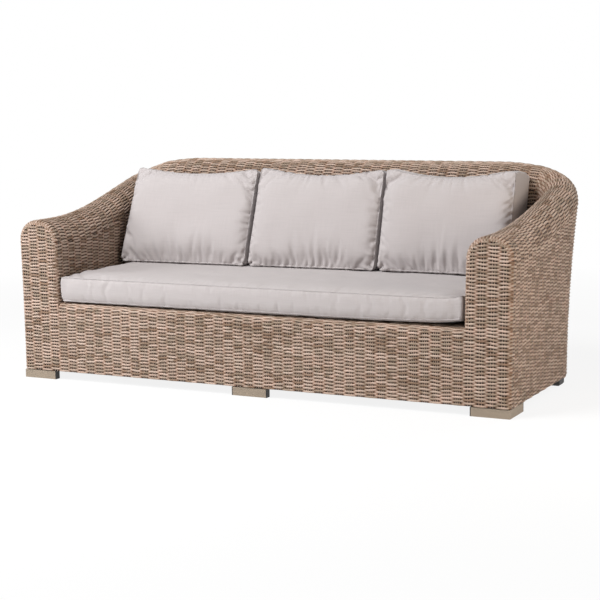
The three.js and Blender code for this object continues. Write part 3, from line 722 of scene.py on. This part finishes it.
def weaving_tree():
    """Geometry tree: moves each guide in and out past the stakes and gives it a flattened section."""
    sockets = {
        "Guides": ("Geometry", None),
        "Strand Radius": ("Float", 0.004),
        "Swing": ("Float", 0.002),
        "Depth": ("Float", 0.003),
        "Flatness": ("Float", 0.7),
        "Sides": ("Int", STRAND_SIDES),
        "Finish": ("Material", None),
    }
    group = new_group("Woven Strands", "GeometryNodeTree", sockets, {"Weave": "Geometry"})
    tree = Tree(group)
    given = group.nodes.new("NodeGroupInput").outputs

    def attribute(name, kind="FLOAT"):
        return tree.node("GeometryNodeInputNamedAttribute", {"Name": name}, "Attribute", data_type=kind)

    out = attribute("out", "FLOAT_VECTOR")
    wave = tree.maths("COSINE", tree.maths("MULTIPLY", attribute("turn"), math.pi))
    reach = tree.maths("MULTIPLY", tree.maths("MULTIPLY", wave, attribute("calm")), given["Swing"])
    shift = tree.maths("SUBTRACT", reach, given["Depth"])
    offset = tree.node("ShaderNodeVectorMath", {0: out, "Scale": shift}, operation="SCALE")
    placed = tree.node("GeometryNodeSetPosition", {"Geometry": given["Guides"], "Offset": offset})
    curve = tree.node("GeometryNodeMeshToCurve", {0: placed})
    turned = tree.node("GeometryNodeSetCurveNormal", {"Curve": curve, "Normal": out}, mode="FREE")
    ring = {"Resolution": given["Sides"], "Radius": given["Strand Radius"]}
    stretch = tree.node("ShaderNodeCombineXYZ", {"X": given["Flatness"], "Y": 1, "Z": 1})
    section = {"Geometry": tree.node("GeometryNodeCurvePrimitiveCircle", ring), "Scale": stretch}
    tube = {
        "Curve": turned,
        "Profile Curve": tree.node("GeometryNodeTransform", section),
        "Scale": attribute("thin"),
        "Fill Caps": True,
    }
    tubes = tree.node("GeometryNodeCurveToMesh", tube)
    smoothed = tree.node("GeometryNodeSetShadeSmooth", {"Geometry": tubes})
    real = tree.node("GeometryNodeRealizeInstances", {0: smoothed})
    painted = tree.node("GeometryNodeSetMaterial", {"Geometry": real, "Material": given["Finish"]})
    tree.feed(group.nodes.new("NodeGroupOutput"), {0: painted})
    return group


def added(name, data):
    """A new object in the scene."""
    piece = bpy.data.objects.new(name, data)
    bpy.context.scene.collection.objects.link(piece)
    return piece


def evaluated_mesh(piece):
    depsgraph = bpy.context.evaluated_depsgraph_get()
    return bpy.data.meshes.new_from_object(piece.evaluated_get(depsgraph))


def made_by_tree(name, mesh, tree, inputs):
    """Plain mesh of a tree's result over a guide mesh."""
    guide = added(name + "_guide", mesh)
    modifier = guide.modifiers.new("Weaving", "NODES")
    modifier.node_group = tree
    for item in tree.interface.items_tree:
        if item.name in inputs:
            modifier[item.identifier] = inputs[item.name]
    result = evaluated_mesh(guide)
    result.name = name
    bpy.data.objects.remove(guide)
    return added(name, result)


def mirror_mesh(mesh):
    """Left twin of a guide mesh."""
    twin = mesh.copy()
    for key in ("position", "out"):
        data = twin.attributes[key].data
        data.foreach_set("vector", (read(data, "vector", 3) * (-1, 1, 1)).ravel())
    return twin


def mixed(first, second, share):
    return tuple(a + (b - a) * share for a, b in zip(first, second))


def neutral(level):
    return (level, level, level, 1)


def grain_group():
    """Shader group of the materials' grain: a stretched noise, and a tone that it gives between two."""
    group = bpy.data.node_groups.get("Grain")
    if group:
        return group
    sockets = {
        "Place": ("Vector", None),
        "Stretch": ("Vector", (1, 1, 1)),
        "Scale": ("Float", 40),
        "Detail": ("Float", 2),
        "Dark Below": ("Float", 0.3),
        "Light Above": ("Float", 0.7),
        "Dark": ("Color", neutral(0)),
        "Light": ("Color", neutral(1)),
    }
    group = new_group("Grain", "ShaderNodeTree", sockets, {"Value": "Float", "Tone": "Color"})
    tree = Tree(group)
    given = group.nodes.new("NodeGroupInput").outputs
    place = tree.node("ShaderNodeMapping", {"Vector": given["Place"], "Scale": given["Stretch"]})
    pattern = {"Vector": place, "Scale": given["Scale"], "Detail": given["Detail"]}
    value = tree.node("ShaderNodeTexNoise", pattern, "Fac")
    limits = {"Value": value, "From Min": given["Dark Below"], "From Max": given["Light Above"]}
    blend = {0: tree.node("ShaderNodeMapRange", limits), 6: given["Dark"], 7: given["Light"]}
    tone = tree.node("ShaderNodeMix", blend, 2, data_type="RGBA")
    tree.feed(group.nodes.new("NodeGroupOutput"), {"Value": value, "Tone": tone})
    return group


class Finish(Tree):
    """A material, and short forms for its grain, ramps, layers and relief."""

    def __init__(self, name, roughness, metallic=0.0, uv_map=None):
        self.material = bpy.data.materials.new(name)
        self.material.use_nodes = True
        super().__init__(self.material.node_tree)
        self.surface = self.nodes["Principled BSDF"]
        self.feed(self.surface, {"Roughness": roughness, "Metallic": metallic})
        if uv_map:
            self.place = self.node("ShaderNodeUVMap", {}, uv_map=uv_map)
        else:
            self.place = self.node("ShaderNodeTexCoord", {}, "Object")

    def grain(self, output, **values):
        """The grain that all the materials share, with this one's own values."""
        values["Place"] = self.place
        return self.node("ShaderNodeGroup", values, output, node_tree=grain_group())

    def attribute(self, name):
        return self.node("ShaderNodeAttribute", {}, "Fac", attribute_name=name)

    def ramp(self, value, *stops):
        """Colours or greys that a value runs through."""
        shade = self.node("ShaderNodeValToRGB", {0: value}, "Color")
        elements = shade.node.color_ramp.elements
        while len(elements) < len(stops):
            elements.new(0.5)
        for element, (position, tone) in zip(elements, stops):
            element.position = position
            element.color = tone if isinstance(tone, tuple) else neutral(tone)
        return shade

    def paint(self, base, *layers):
        """Multiplies a base colour with the layers over it and gives the surface the result."""
        for layer in layers:
            blend = {0: 1.0, 6: base, 7: layer}
            base = self.node("ShaderNodeMix", blend, 2, data_type="RGBA", blend_type="MULTIPLY")
        self.feed(self.surface, {"Base Color": base})

    def bump(self, height, strength, distance):
        relief = {"Height": height, "Strength": strength, "Distance": distance}
        self.feed(self.surface, {"Normal": self.node("ShaderNodeBump", relief)})


def wicker_finish(sizes):
    finish = Finish("wicker", 0.5)
    light, grey, dark = tuple(sizes.light_tone), tuple(sizes.grey_tone), tuple(sizes.dark_tone)
    browns = [(place, mixed(dark, light, share)) for place, share in ((0.45, 0.6), (0.75, 0.8))]
    base = finish.ramp(finish.attribute("tone"), (0.0, dark), (0.25, grey), *browns, (1.0, light))
    streaks = finish.grain("Tone", Scale=260, Detail=3, Dark=neutral(0.78))
    cool, warm = (0.84, 0.86, 0.84, 1), (1, 0.96, 0.95, 1)
    patches = finish.ramp(finish.grain("Value", Scale=34), (0.34, cool), (0.5, 0.93), (0.66, warm))
    # Painted shade: where the weave carries a strand in behind the stakes, its colour is darkened to a deep
    # brown. The stakes, halfway in, are darkened part way, and the crowns keep their full colour.
    wave = finish.maths("COSINE", finish.maths("MULTIPLY", finish.attribute("turn"), math.pi))
    reach = finish.maths("MULTIPLY", wave, finish.attribute("calm"))
    level = finish.maths("ADD", finish.maths("MULTIPLY", reach, 0.5), 0.5)
    deepest_painted_shade, middle = (0.012, 0.004, 0.002, 1), (0.54, 0.4, 0.32, 1)
    shade = finish.ramp(level, (0.0, deepest_painted_shade), (0.15, mixed(deepest_painted_shade, middle, 0.1)), (0.37, middle), (0.55, 1))
    finish.paint(base, streaks, patches, shade)
    finish.bump(finish.grain("Value", Scale=600), 0.3, 0.0004)
    finish.feed(finish.surface, {"Specular IOR Level": 0.3})
    return finish.material


def linen_finish(sizes):
    finish = Finish("linen", 0.95, uv_map="Cloth")
    threads = finish.grain("Value", Stretch=(9, 380, 1), Scale=1, Detail=3)
    weft = finish.ramp(threads, (0.3, 0.955), (0.5, 1), (0.7, 1.02))
    limits = {"Dark Below": 0.32, "Light Above": 0.6}
    warp = finish.grain("Tone", Stretch=(420, 12, 1), Scale=1, Detail=3, Dark=neutral(0.965), **limits)
    specks = finish.grain("Tone", Stretch=(900, 900, 1), Scale=1, Detail=1, Dark=neutral(0.96))
    # Painted shade along the seams: the cloth is darkened within about 2.5 mm of each seam line.
    apart = finish.maths("MULTIPLY", finish.attribute("seam"), 300)
    painted_seam_shade = finish.ramp(apart, (0.15, 0.65), (0.75, 1))
    finish.paint(tuple(sizes.linen), weft, warp, specks, painted_seam_shade)
    finish.bump(finish.grain("Value", Stretch=(1100, 1100, 1), Scale=1), 0.3, 0.0005)
    finish.feed(finish.surface, {"Sheen Weight": 0.15})
    return finish.material


def metal_finish(name, tone, roughness, metallic):
    finish = Finish(name, roughness, metallic)
    dull = mixed(tone, neutral(0), 0.08)
    finish.paint(finish.grain("Tone", Stretch=(0.2, 1, 1), Scale=90, Dark=dull, Light=tone))
    finish.bump(finish.grain("Value", Scale=1500), 0.15, 0.0002)
    return finish.material


def plastic_finish():
    finish = Finish("black_plastic", 0.5)
    black, worn = (0.012, 0.011, 0.01, 1), (0.022, 0.02, 0.019, 1)
    finish.paint(finish.grain("Tone", Scale=40, Dark=black, Light=worn))
    finish.bump(finish.grain("Value", Scale=1800), 0.2, 0.0002)
    return finish.material


class SOFA_OT_weave(bpy.types.Operator):
    """Weave the shell over its frame"""

    bl_idname = "sofa.weave"
    bl_label = "Weave Shell"

    def execute(self, context):
        weave = Weave(context.scene.sofa_weave)
        outer, inner = weave.outer, weave.inner
        back = (BACK_AT, 2 * HALF_LOOP - BACK_AT)
        inner_back = (INNER_BACK_AT, 2 * INNER_HALF - INNER_BACK_AT)

        def folded(span, inner_span):
            return [(weave.wall, outer, *span), (weave.roll, *span), (weave.wall, inner, *inner_span)]

        # Each sheet's seed, its stretches and the nodes it stands for, or None for a pair of sheets
        sheets = {
            "front_panel": (11, [(weave.panel,)], ["front_panel_weave"]),
            "arm_front": (21, [(weave.arm_front,)], None),
            "arm": (31, folded((SIDE_AT, CORNER_AT), (INNER_SIDE_AT, INNER_CORNER_AT)), None),
            "corner": (41, folded((CORNER_AT, BACK_AT), (INNER_CORNER_AT, INNER_BACK_AT)), None),
            "back_outer": (51, [(weave.wall, outer, *back)], ["back_weave"]),
            "back_roll": (61, [(weave.roll, *back)], []),
            "back_inner": (71, [(weave.wall, inner, *inner_back)], []),
            "seat_deck": (81, [(weave.deck,)], ["seat_deck_weave"]),
        }
        for name, (seed, stretches, nodes) in sheets.items():
            guides = Guides(seed, weave.thin)
            for lay, *stretch in stretches:
                lay(guides, *stretch)
            mesh = guides.mesh(name)
            if nodes is None:
                twin = mirror_mesh(mesh)
                weave.piece(f"right_{name}", mesh, [f"right_{name}_weave"])
                weave.piece(f"left_{name}", twin, [f"left_{name}_weave"])
            else:
                weave.piece(name, mesh, nodes)
        return {"FINISHED"}


def knots(reach, spacing):
    """Even steps across a panel, -1 to 1, with two narrow ones beside each seam."""
    near, far = SEAM_STEP / reach, SEAM_SPREAD / reach
    count = round(2 * (reach - SEAM_SPREAD) / spacing)
    return np.concatenate([[-1, near - 1], np.linspace(far - 1, 1 - far, count + 1), [1 - near, 1]])


def rounded_corner(x, y, half_x, half_y, radius):
    """Draws the corners of a rectangle in to a round."""
    over_x, over_y = np.abs(x) - (half_x - radius), np.abs(y) - (half_y - radius)
    corner = (over_x > 0) & (over_y > 0)
    pull = np.maximum(over_x, over_y) / np.maximum(np.hypot(over_x, over_y), 1e-9)
    x = np.where(corner, np.sign(x) * (half_x - radius + over_x * pull), x)
    return x, np.where(corner, np.sign(y) * (half_y - radius + over_y * pull), y)


def ripple(along, chance):
    """Uneven wave between -1 and 1, with folds a few centimetres apart."""
    low, high = along.min() - 0.1, along.max() + 0.1
    places = [low]
    while places[-1] < high:
        places.append(places[-1] + chance.uniform(*PUCKER_SPACING))
    heights = chance.uniform(0.1, 1, len(places)) * np.where(np.arange(len(places)) % 2, 1, -1)
    index = np.clip(np.searchsorted(places, along) - 1, 0, len(places) - 2)
    places = np.array(places)
    share = smooth((along - places[index]) / (places[index + 1] - places[index]))
    return heights[index] + (heights[index + 1] - heights[index]) * share


class Cushion:
    """A boxed cushion. s and t run -1 to 1 across its faces, side from 1 on the shown one to -1 behind."""

    def __init__(self, node, reach, seed):
        self.node, self.reach, self.seed = node, reach, seed
        self.s, self.t, side = (knots(half, self.spacing) for half in reach)
        self.side = side[::-1]
        self.face = np.arange(len(self.s) * len(self.t)).reshape(len(self.s), len(self.t))
        face = self.face
        self.rim = np.concatenate([face[:-1, 0], face[-1, :-1], face[:0:-1, -1], face[0, :0:-1]])

    def parameters(self):
        """s, t and side of every vertex: the two faces, then the rings of the boxing between them."""
        s, t = np.meshgrid(self.s, self.t, indexing="ij")
        places = np.stack([s.ravel(), t.ravel()], 1)
        parts = [np.column_stack([places, np.full(len(places), side)]) for side in (1, -1)]
        for side in self.side[1:-1]:
            parts.append(np.column_stack([places[self.rim], np.full(len(self.rim), side)]))
        return np.concatenate(parts)

    def quads(self):
        face, count, ring = self.face, self.face.size, np.arange(len(self.rim))
        between = [2 * count + layer * len(ring) + ring for layer in range(len(self.side) - 2)]
        rings = [self.rim, *between, count + self.rim]
        corners = (face[:-1, :-1], face[1:, :-1], face[1:, 1:], face[:-1, 1:])
        shown = np.stack([corner.ravel() for corner in corners], 1)
        pairs = zip(rings, rings[1:])
        sides = [np.stack([near, far, np.roll(far, -1), np.roll(near, -1)], 1) for near, far in pairs]
        return np.concatenate([shown, shown[:, ::-1] + count, *sides])

    def cover(self):
        """The unstuffed cover, with cloth coordinates in metres as its UV map."""
        places = self.parameters()
        quads = self.quads()
        mesh = bpy.data.meshes.new(self.node + "_stuffed")
        mesh.from_pydata(self.place(*places.T), [], quads)
        metres = places * self.reach
        attach(mesh, dict(zip(PLACES, metres.T)))
        on_face = 2 * (len(self.s) - 1) * (len(self.t) - 1)
        flat = metres[quads][..., :2]
        steps = np.linalg.norm(np.diff(metres[np.append(self.rim, self.rim[0])], axis=0), axis=1)
        arc = np.concatenate([[0], np.cumsum(steps)])
        segment = np.arange(len(quads) - on_face) % len(self.rim)
        ends = np.stack([segment, segment, segment + 1, segment + 1], 1)
        flat[on_face:] = np.stack([arc[ends], metres[quads[on_face:]][..., 2]], -1)
        mesh.uv_layers.new(name="Cloth").data.foreach_set("uv", flat.ravel())
        piece = added(mesh.name, mesh)
        seams = np.concatenate([self.rim, self.rim + self.face.size])
        piece.vertex_groups.new(name="Seam").add(seams.tolist(), 1.0, "REPLACE")
        return piece

    def settle(self, piece, blown):
        """Takes over the blown cover, each point's swell held to what the stuffing gives."""
        places = self.parameters()
        start = self.place(*places.T)
        move = blown - start
        side = places[:, 2]
        most = np.where(side == 1, self.crown, np.where(side == -1, self.underside, self.bulge))
        length = np.maximum(np.linalg.norm(move, axis=1), 1e-9)
        move *= (most * np.tanh(self.fullness * length / most) / length)[:, None]
        piece.data.vertices.foreach_set("co", self.keep(start + move).ravel())

    def gather(self, piece):
        """Puckers and creases beside the seams, and the seam's own low welt."""
        mesh = piece.data
        points, normals = read(mesh.vertices, "co", 3), read(mesh.vertex_normals, "vector", 3)
        s, t, side = (read(mesh.attributes[key].data, "value", 1)[:, 0] for key in PLACES)
        chance = np.random.default_rng(self.seed)
        reach_s, reach_t, reach_side = self.reach
        on_face = np.abs(side) > reach_side * 0.9999
        height, nearest = np.zeros(len(points)), np.ones(len(points))
        edges = ((reach_s - s, t), (reach_s + s, t), (reach_t - t, s), (reach_t + t, s))
        for (distance, along), strength in zip(edges, self.puckers):
            wave = ripple(along + self.slant * distance, chance)
            uneven = 0.65 + 0.35 * ripple(along / 4, chance)
            fold = distance / PUCKER_REACH
            pucker = fold * np.exp(1 - fold) + PUCKER_TAIL * np.exp(-fold / 4) * smooth(fold)
            height += np.where(on_face, strength * uneven * wave * pucker, 0)
            nearest = np.where(on_face, np.minimum(nearest, distance), nearest)
        for sign in (1, -1):
            distance = reach_side - sign * side
            fold = distance / PUCKER_REACH
            wave = ripple(np.where(reach_s - np.abs(s) < reach_t - np.abs(t), t, s), chance)
            pucker = BOXING_PUCKER * max(self.puckers) * wave * fold * np.exp(1 - fold)
            height += np.where(on_face, 0, pucker)
            nearest = np.where(on_face, nearest, np.minimum(nearest, distance))
        for sign in (1, -1):
            to_side, to_bottom = reach_s - sign * s, reach_t + t
            apart = np.hypot(to_side, to_bottom)
            folds = np.cos(5 * np.arctan2(to_bottom, to_side) + chance.uniform(-0.6, 0.6))
            depth = self.pleat * (apart / PLEAT_REACH) * np.exp(1 - apart / PLEAT_REACH)
            height += np.where(on_face, depth * folds, 0)
        for _ in range(SWAY_WAVES):
            across, up = chance.uniform(-SWAY_RATE, SWAY_RATE), chance.uniform(-SWAY_RATE, SWAY_RATE)
            phase = chance.uniform(0, 7)
            swell = self.sway * np.sin(across * s + up * t + phase)
            height += swell * smooth(nearest / SWAY_REACH) * on_face
        welt = np.exp(-((1.6 * nearest / SEAM_STEP) ** 2)) - np.exp(-((nearest / SEAM_STEP - 1.2) ** 2))
        height += SEAM_WELT * welt
        attach(mesh, {"seam": nearest})
        mesh.vertices.foreach_set("co", self.keep(points + normals * height[:, None]).ravel())


class BackCushion(Cushion):
    spacing = 0.0075
    crown, bulge, underside = 0.03, 0.007, 0.004
    fullness = 1.7
    puckers = (0.0044, 0.003, 0.0014, 0.0044)
    pleat = 0.006
    sway = 0.0007

    def __init__(self, node, form, seed):
        lean, self.lift, self.twist, self.slant = form
        self.low, self.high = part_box(node)
        reach = ((self.high.x - self.low.x) / 2, BACK_CUSHION_HEIGHT / 2, BACK_CUSHION_THICKNESS / 2)
        super().__init__(node, reach, seed)
        self.slope = math.tan(math.radians(lean))
        rear_top = self.low.z + BACK_CUSHION_HEIGHT - self.slope * BACK_CUSHION_THICKNESS
        self.stand = self.high.y - self.slope * rear_top

    def front(self, z):
        return self.stand + self.slope * z - BACK_CUSHION_THICKNESS

    def place(self, s, t, side):
        """The cover's own form: drawn-in seams, a dip between standing corners, an ear on each rear one."""
        half = self.reach[0] - BACK_COVER_GAP - BACK_CUSHION_DRAW_IN * (1 - t**2) * side**2
        half_height = BACK_CUSHION_HEIGHT / 2
        x, y = rounded_corner(half * s, half_height * t, half, half_height, BACK_CUSHION_CORNER)
        behind = BACK_CUSHION_THICKNESS * (1 - side) / 2
        ear = BACK_CUSHION_EAR * (behind / BACK_CUSHION_THICKNESS) * smooth(6 * np.abs(s) - 5)
        drop = (BACK_CUSHION_DIP + self.lift) * (1 - s**2) - self.lift + self.slope * behind * (1 - ear)
        seam = BACK_CUSHION_ROUND * (0.35 + 0.65 * side**2)
        z = self.low.z + half_height + y - smooth(t) * (drop + seam) + smooth(-t) * seam / 2
        shown = (side + 1) / 2
        back = self.twist * (1 + s) / 2 * (1 - t) / 2 + BACK_CUSHION_TUCK * np.maximum(-t, 0) ** 12
        middle = (self.low.x + self.high.x) / 2
        return np.stack([middle + x, self.front(z) + behind + back * shown, z], -1)

    def keep(self, points):
        x, y, z = points.T
        x = np.clip(x, self.low.x, self.high.x)
        z = np.clip(z, self.low.z, self.high.z)
        y = np.minimum(y, self.front(z) + BACK_CUSHION_THICKNESS)
        return np.stack([x, y, z], -1)


class SeatCushion(Cushion):
    spacing = 0.0095
    crown, bulge, underside = 0.014, 0.003, 0.001
    fullness = 0.8
    puckers = (0.0008, 0.0008, 0.0008, 0.0005)
    pleat = 0.001
    sway = 0.0009
    slant = 0.3

    def __init__(self, node, seed):
        self.low, self.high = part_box(node)
        self.middle = (self.low + self.high) / 2
        half = (self.high - self.low) / 2
        super().__init__(node, (half.x, half.y, SEAT_BOXING / 2), seed)

    def place(self, s, t, side):
        """Boxing between a top and a raised lower seam, with the right front corner curled up."""
        half_x, half_y = (reach - SEAT_COVER_GAP for reach in self.reach[:2])
        drawn = SEAT_DRAW_IN * np.where(side > 0, side**2, 2 * side**2)
        drawn = drawn * np.maximum(np.abs(s), np.abs(t)) ** 8
        x, y = rounded_corner(half_x * s, half_y * t, half_x, half_y, SEAT_CORNER)
        x, y = x * (1 - drawn / half_x), y * (1 - drawn / half_y)
        edge = 1 - np.sqrt((1 - np.clip(np.abs(s), 0, 1) ** 24) * (1 - np.clip(np.abs(t), 0, 1) ** 12))
        seam = SEAT_EDGE * edge * (1 + 0.3 * s)
        z = self.low.z + np.where(side == -1, seam, seam + (SEAT_BOXING - seam) * (side + 1) / 2)
        from_side, from_front = self.reach[0] - x, self.reach[1] + y
        top = CURL_TOP * np.exp(-from_side / CURL_TOP_LENGTH) * np.cos(1.7 * from_front / CURL_DEPTH)
        under = CURL_UNDER * np.exp(-from_side / CURL_UNDER_LENGTH)
        lift = (under + (top - under) * (side + 1) / 2) * np.exp(-from_front / CURL_DEPTH)
        return np.stack([self.middle.x + x, self.middle.y + y, z + lift], -1)

    def keep(self, points):
        return np.clip(points, self.low, self.high)


def blow_up(pieces):
    """Cloth simulation of all the covers at once; gives each one's blown points."""
    scene = bpy.context.scene
    for piece in pieces:
        settings = piece.modifiers.new("Cloth", "CLOTH").settings
        for key, value in CLOTH.items():
            setattr(settings, key, value)
        settings.effector_weights.gravity = 0
    for step in range(1, CLOTH_STEPS + 1):
        scene.frame_set(step)
    depsgraph = bpy.context.evaluated_depsgraph_get()
    results = []
    for piece in pieces:
        results.append(read(piece.evaluated_get(depsgraph).data.vertices, "co", 3))
        piece.modifiers.clear()
    scene.frame_set(1)
    return results


def subdivided(piece):
    """Applies one level of subdivision to a piece."""
    modifier = piece.modifiers.new("Smooth", "SUBSURF")
    modifier.levels = modifier.render_levels = 1
    old, piece.data = piece.data, evaluated_mesh(piece)
    piece.modifiers.clear()
    bpy.data.meshes.remove(old)


class SOFA_OT_cushions(bpy.types.Operator):
    """Stuff the seat cushion and the back cushions"""

    bl_idname = "sofa.cushions"
    bl_label = "Make Cushions"

    def execute(self, context):
        finish = linen_finish(context.scene.sofa_cushions)
        cushions = [SeatCushion("seat_cushion", 5)]
        for seed, (side, form) in enumerate(BACK_CUSHIONS.items()):
            cushions.append(BackCushion(f"back_cushion_{side}", form, seed))
        pieces = [cushion.cover() for cushion in cushions]
        for cushion, piece, blown in zip(cushions, pieces, blow_up(pieces)):
            cushion.settle(piece, blown)
        for cushion, piece in zip(cushions, pieces):
            subdivided(piece)
            cushion.gather(piece)
            piece.data.materials.append(finish)
            piece.data.shade_smooth()
            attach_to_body(piece, cushion.node)
            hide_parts(cushion.node)
        return {"FINISHED"}


class SOFA_OT_frame(bpy.types.Operator):
    """Finish the frame tubes, feet and caps"""

    bl_idname = "sofa.frame"
    bl_label = "Finish Frame and Feet"

    def execute(self, context):
        finishes = {
            "frame_metal": metal_finish("frame_metal", (0.4, 0.41, 0.42, 1), 0.45, 0.9),
            "foot_metal": metal_finish("foot_metal", (0.34, 0.275, 0.21, 1), 0.5, 0.25),
            "black_plastic": plastic_finish(),
        }
        for part in frame["record"]["subparts"]:
            finish = finishes.get(part["material_slot"])
            if finish:
                mesh = frame["nodes"][part["node"]].data
                mesh.materials.clear()
                mesh.materials.append(finish)
        return {"FINISHED"}


def floor_plane(finish):
    mesh = bpy.data.meshes.new("floor")
    corners = [(x * FLOOR_REACH, y * FLOOR_REACH, 0) for x, y in ((-1, -1), (1, -1), (1, 1), (-1, 1))]
    mesh.from_pydata(corners, [], [(0, 1, 2, 3)])
    mesh.materials.append(finish)
    piece = added("floor", mesh)


def lamp(name, place, aim, size, power, tint):
    light = bpy.data.lights.new(name, "AREA")
    light.shape = "SQUARE"
    light.size = size
    light.energy = power
    light.color = tint
    piece = added(name, light)
    piece.location = place
    piece.rotation_euler = (Vector(aim) - Vector(place)).to_track_quat("-Z", "Y").to_euler()


def floor_finish():
    """Grey for the light, white where the camera, a gloss or glass looks at it, and all white far off."""
    finish = Finish("floor", 0.9)
    path = finish.nodes.new("ShaderNodeLightPath").outputs
    seen = path["Is Camera Ray"]
    for ray in ("Is Glossy Ray", "Is Transmission Ray"):
        seen = finish.maths("MAXIMUM", seen, path[ray])
    distance = finish.node("ShaderNodeVectorMath", {0: finish.place}, "Value", operation="LENGTH")
    range_inputs = {"From Min": WHITE_FROM / 2, "From Max": WHITE_FROM, "To Min": FLOOR_WHITE}
    far = finish.node("ShaderNodeMapRange", {"Value": distance, **range_inputs})
    share = finish.maths("MULTIPLY", seen, far)
    white = finish.node("ShaderNodeEmission", {"Strength": 1})
    blend = finish.node("ShaderNodeMixShader", {0: share, 1: finish.surface.outputs[0], 2: white})
    finish.paint((0.9, 0.9, 0.9, 1))
    finish.feed(finish.nodes["Material Output"], {"Surface": blend})
    return finish.material


class SOFA_OT_stage(bpy.types.Operator):
    """Set the floor, lamps and camera"""

    bl_idname = "sofa.stage"
    bl_label = "Set Stage"

    def execute(self, context):
        scene = context.scene
        floor_plane(floor_finish())
        world = bpy.data.worlds.new("studio")
        world.use_nodes = True
        scene.world = world
        tree = Tree(world.node_tree)
        seen = tree.node("ShaderNodeLightPath", {}, "Is Camera Ray")
        power = tree.node("ShaderNodeMix", {0: seen, 2: WORLD_POWER, 3: 1.0})
        tree.feed(tree.nodes["Background"], {"Color": (1, 1, 1, 1), "Strength": power})
        for name, setting in LAMPS.items():
            lamp(name, *setting)

        sizes = scene.sofa_stage
        yaw, pitch, roll = sizes.camera_yaw, sizes.camera_pitch, sizes.camera_roll
        level = math.cos(pitch)
        ahead = Vector((-math.sin(yaw) * level, math.cos(yaw) * level, -math.sin(pitch)))
        right = Vector((math.cos(yaw), math.sin(yaw), 0))
        up = right.cross(ahead)
        lean, rise = math.sin(roll), math.cos(roll)
        right, up = right * rise - up * lean, right * lean + up * rise
        camera = bpy.data.cameras.new("camera")
        camera.lens = sizes.focal_length
        camera.sensor_width = 36
        camera.sensor_fit = "HORIZONTAL"
        stand = added("camera", camera)
        turn = Matrix((right, up, -ahead)).transposed().to_4x4()
        stand.matrix_world = Matrix.Translation(sizes.camera_place) @ turn
        scene.camera = stand
        scene.view_settings.view_transform = "Standard"
        return {"FINISHED"}


class SOFA_PT_panel(bpy.types.Panel):
    """Sofa tools in the sidebar"""

    bl_idname = "SOFA_PT_panel"
    bl_label = "Garden Sofa"
    bl_space_type = "VIEW_3D"
    bl_region_type = "UI"
    bl_category = "Sofa"

    def draw(self, context):
        for operator in OPERATORS:
            self.layout.operator(operator.bl_idname)
        for group in (context.scene.sofa_weave, context.scene.sofa_cushions, context.scene.sofa_stage):
            column = self.layout.column(align=True)
            for key in group.bl_rna.properties.keys():
                if key not in ("rna_type", "name"):
                    column.prop(group, key)


OPERATORS = (SOFA_OT_stage, SOFA_OT_frame, SOFA_OT_weave, SOFA_OT_cushions)
GROUPS = {"sofa_weave": WeaveSizes, "sofa_cushions": CushionSizes, "sofa_stage": StageSizes}


def register():
    for group in GROUPS.values():
        bpy.utils.register_class(group)
    for operator in OPERATORS:
        bpy.utils.register_class(operator)
    bpy.utils.register_class(SOFA_PT_panel)
    for name, group in GROUPS.items():
        setattr(bpy.types.Scene, name, bpy.props.PointerProperty(type=group))


def unregister():
    for name in GROUPS:
        delattr(bpy.types.Scene, name)
    bpy.utils.unregister_class(SOFA_PT_panel)
    for item in (*OPERATORS, *GROUPS.values()):
        bpy.utils.unregister_class(item)


def main():
    register()
    bpy.ops.sofa.stage()
    bpy.ops.sofa.frame()
    bpy.ops.sofa.weave()
    bpy.ops.sofa.cushions()


if __name__ == "__main__":
    main()
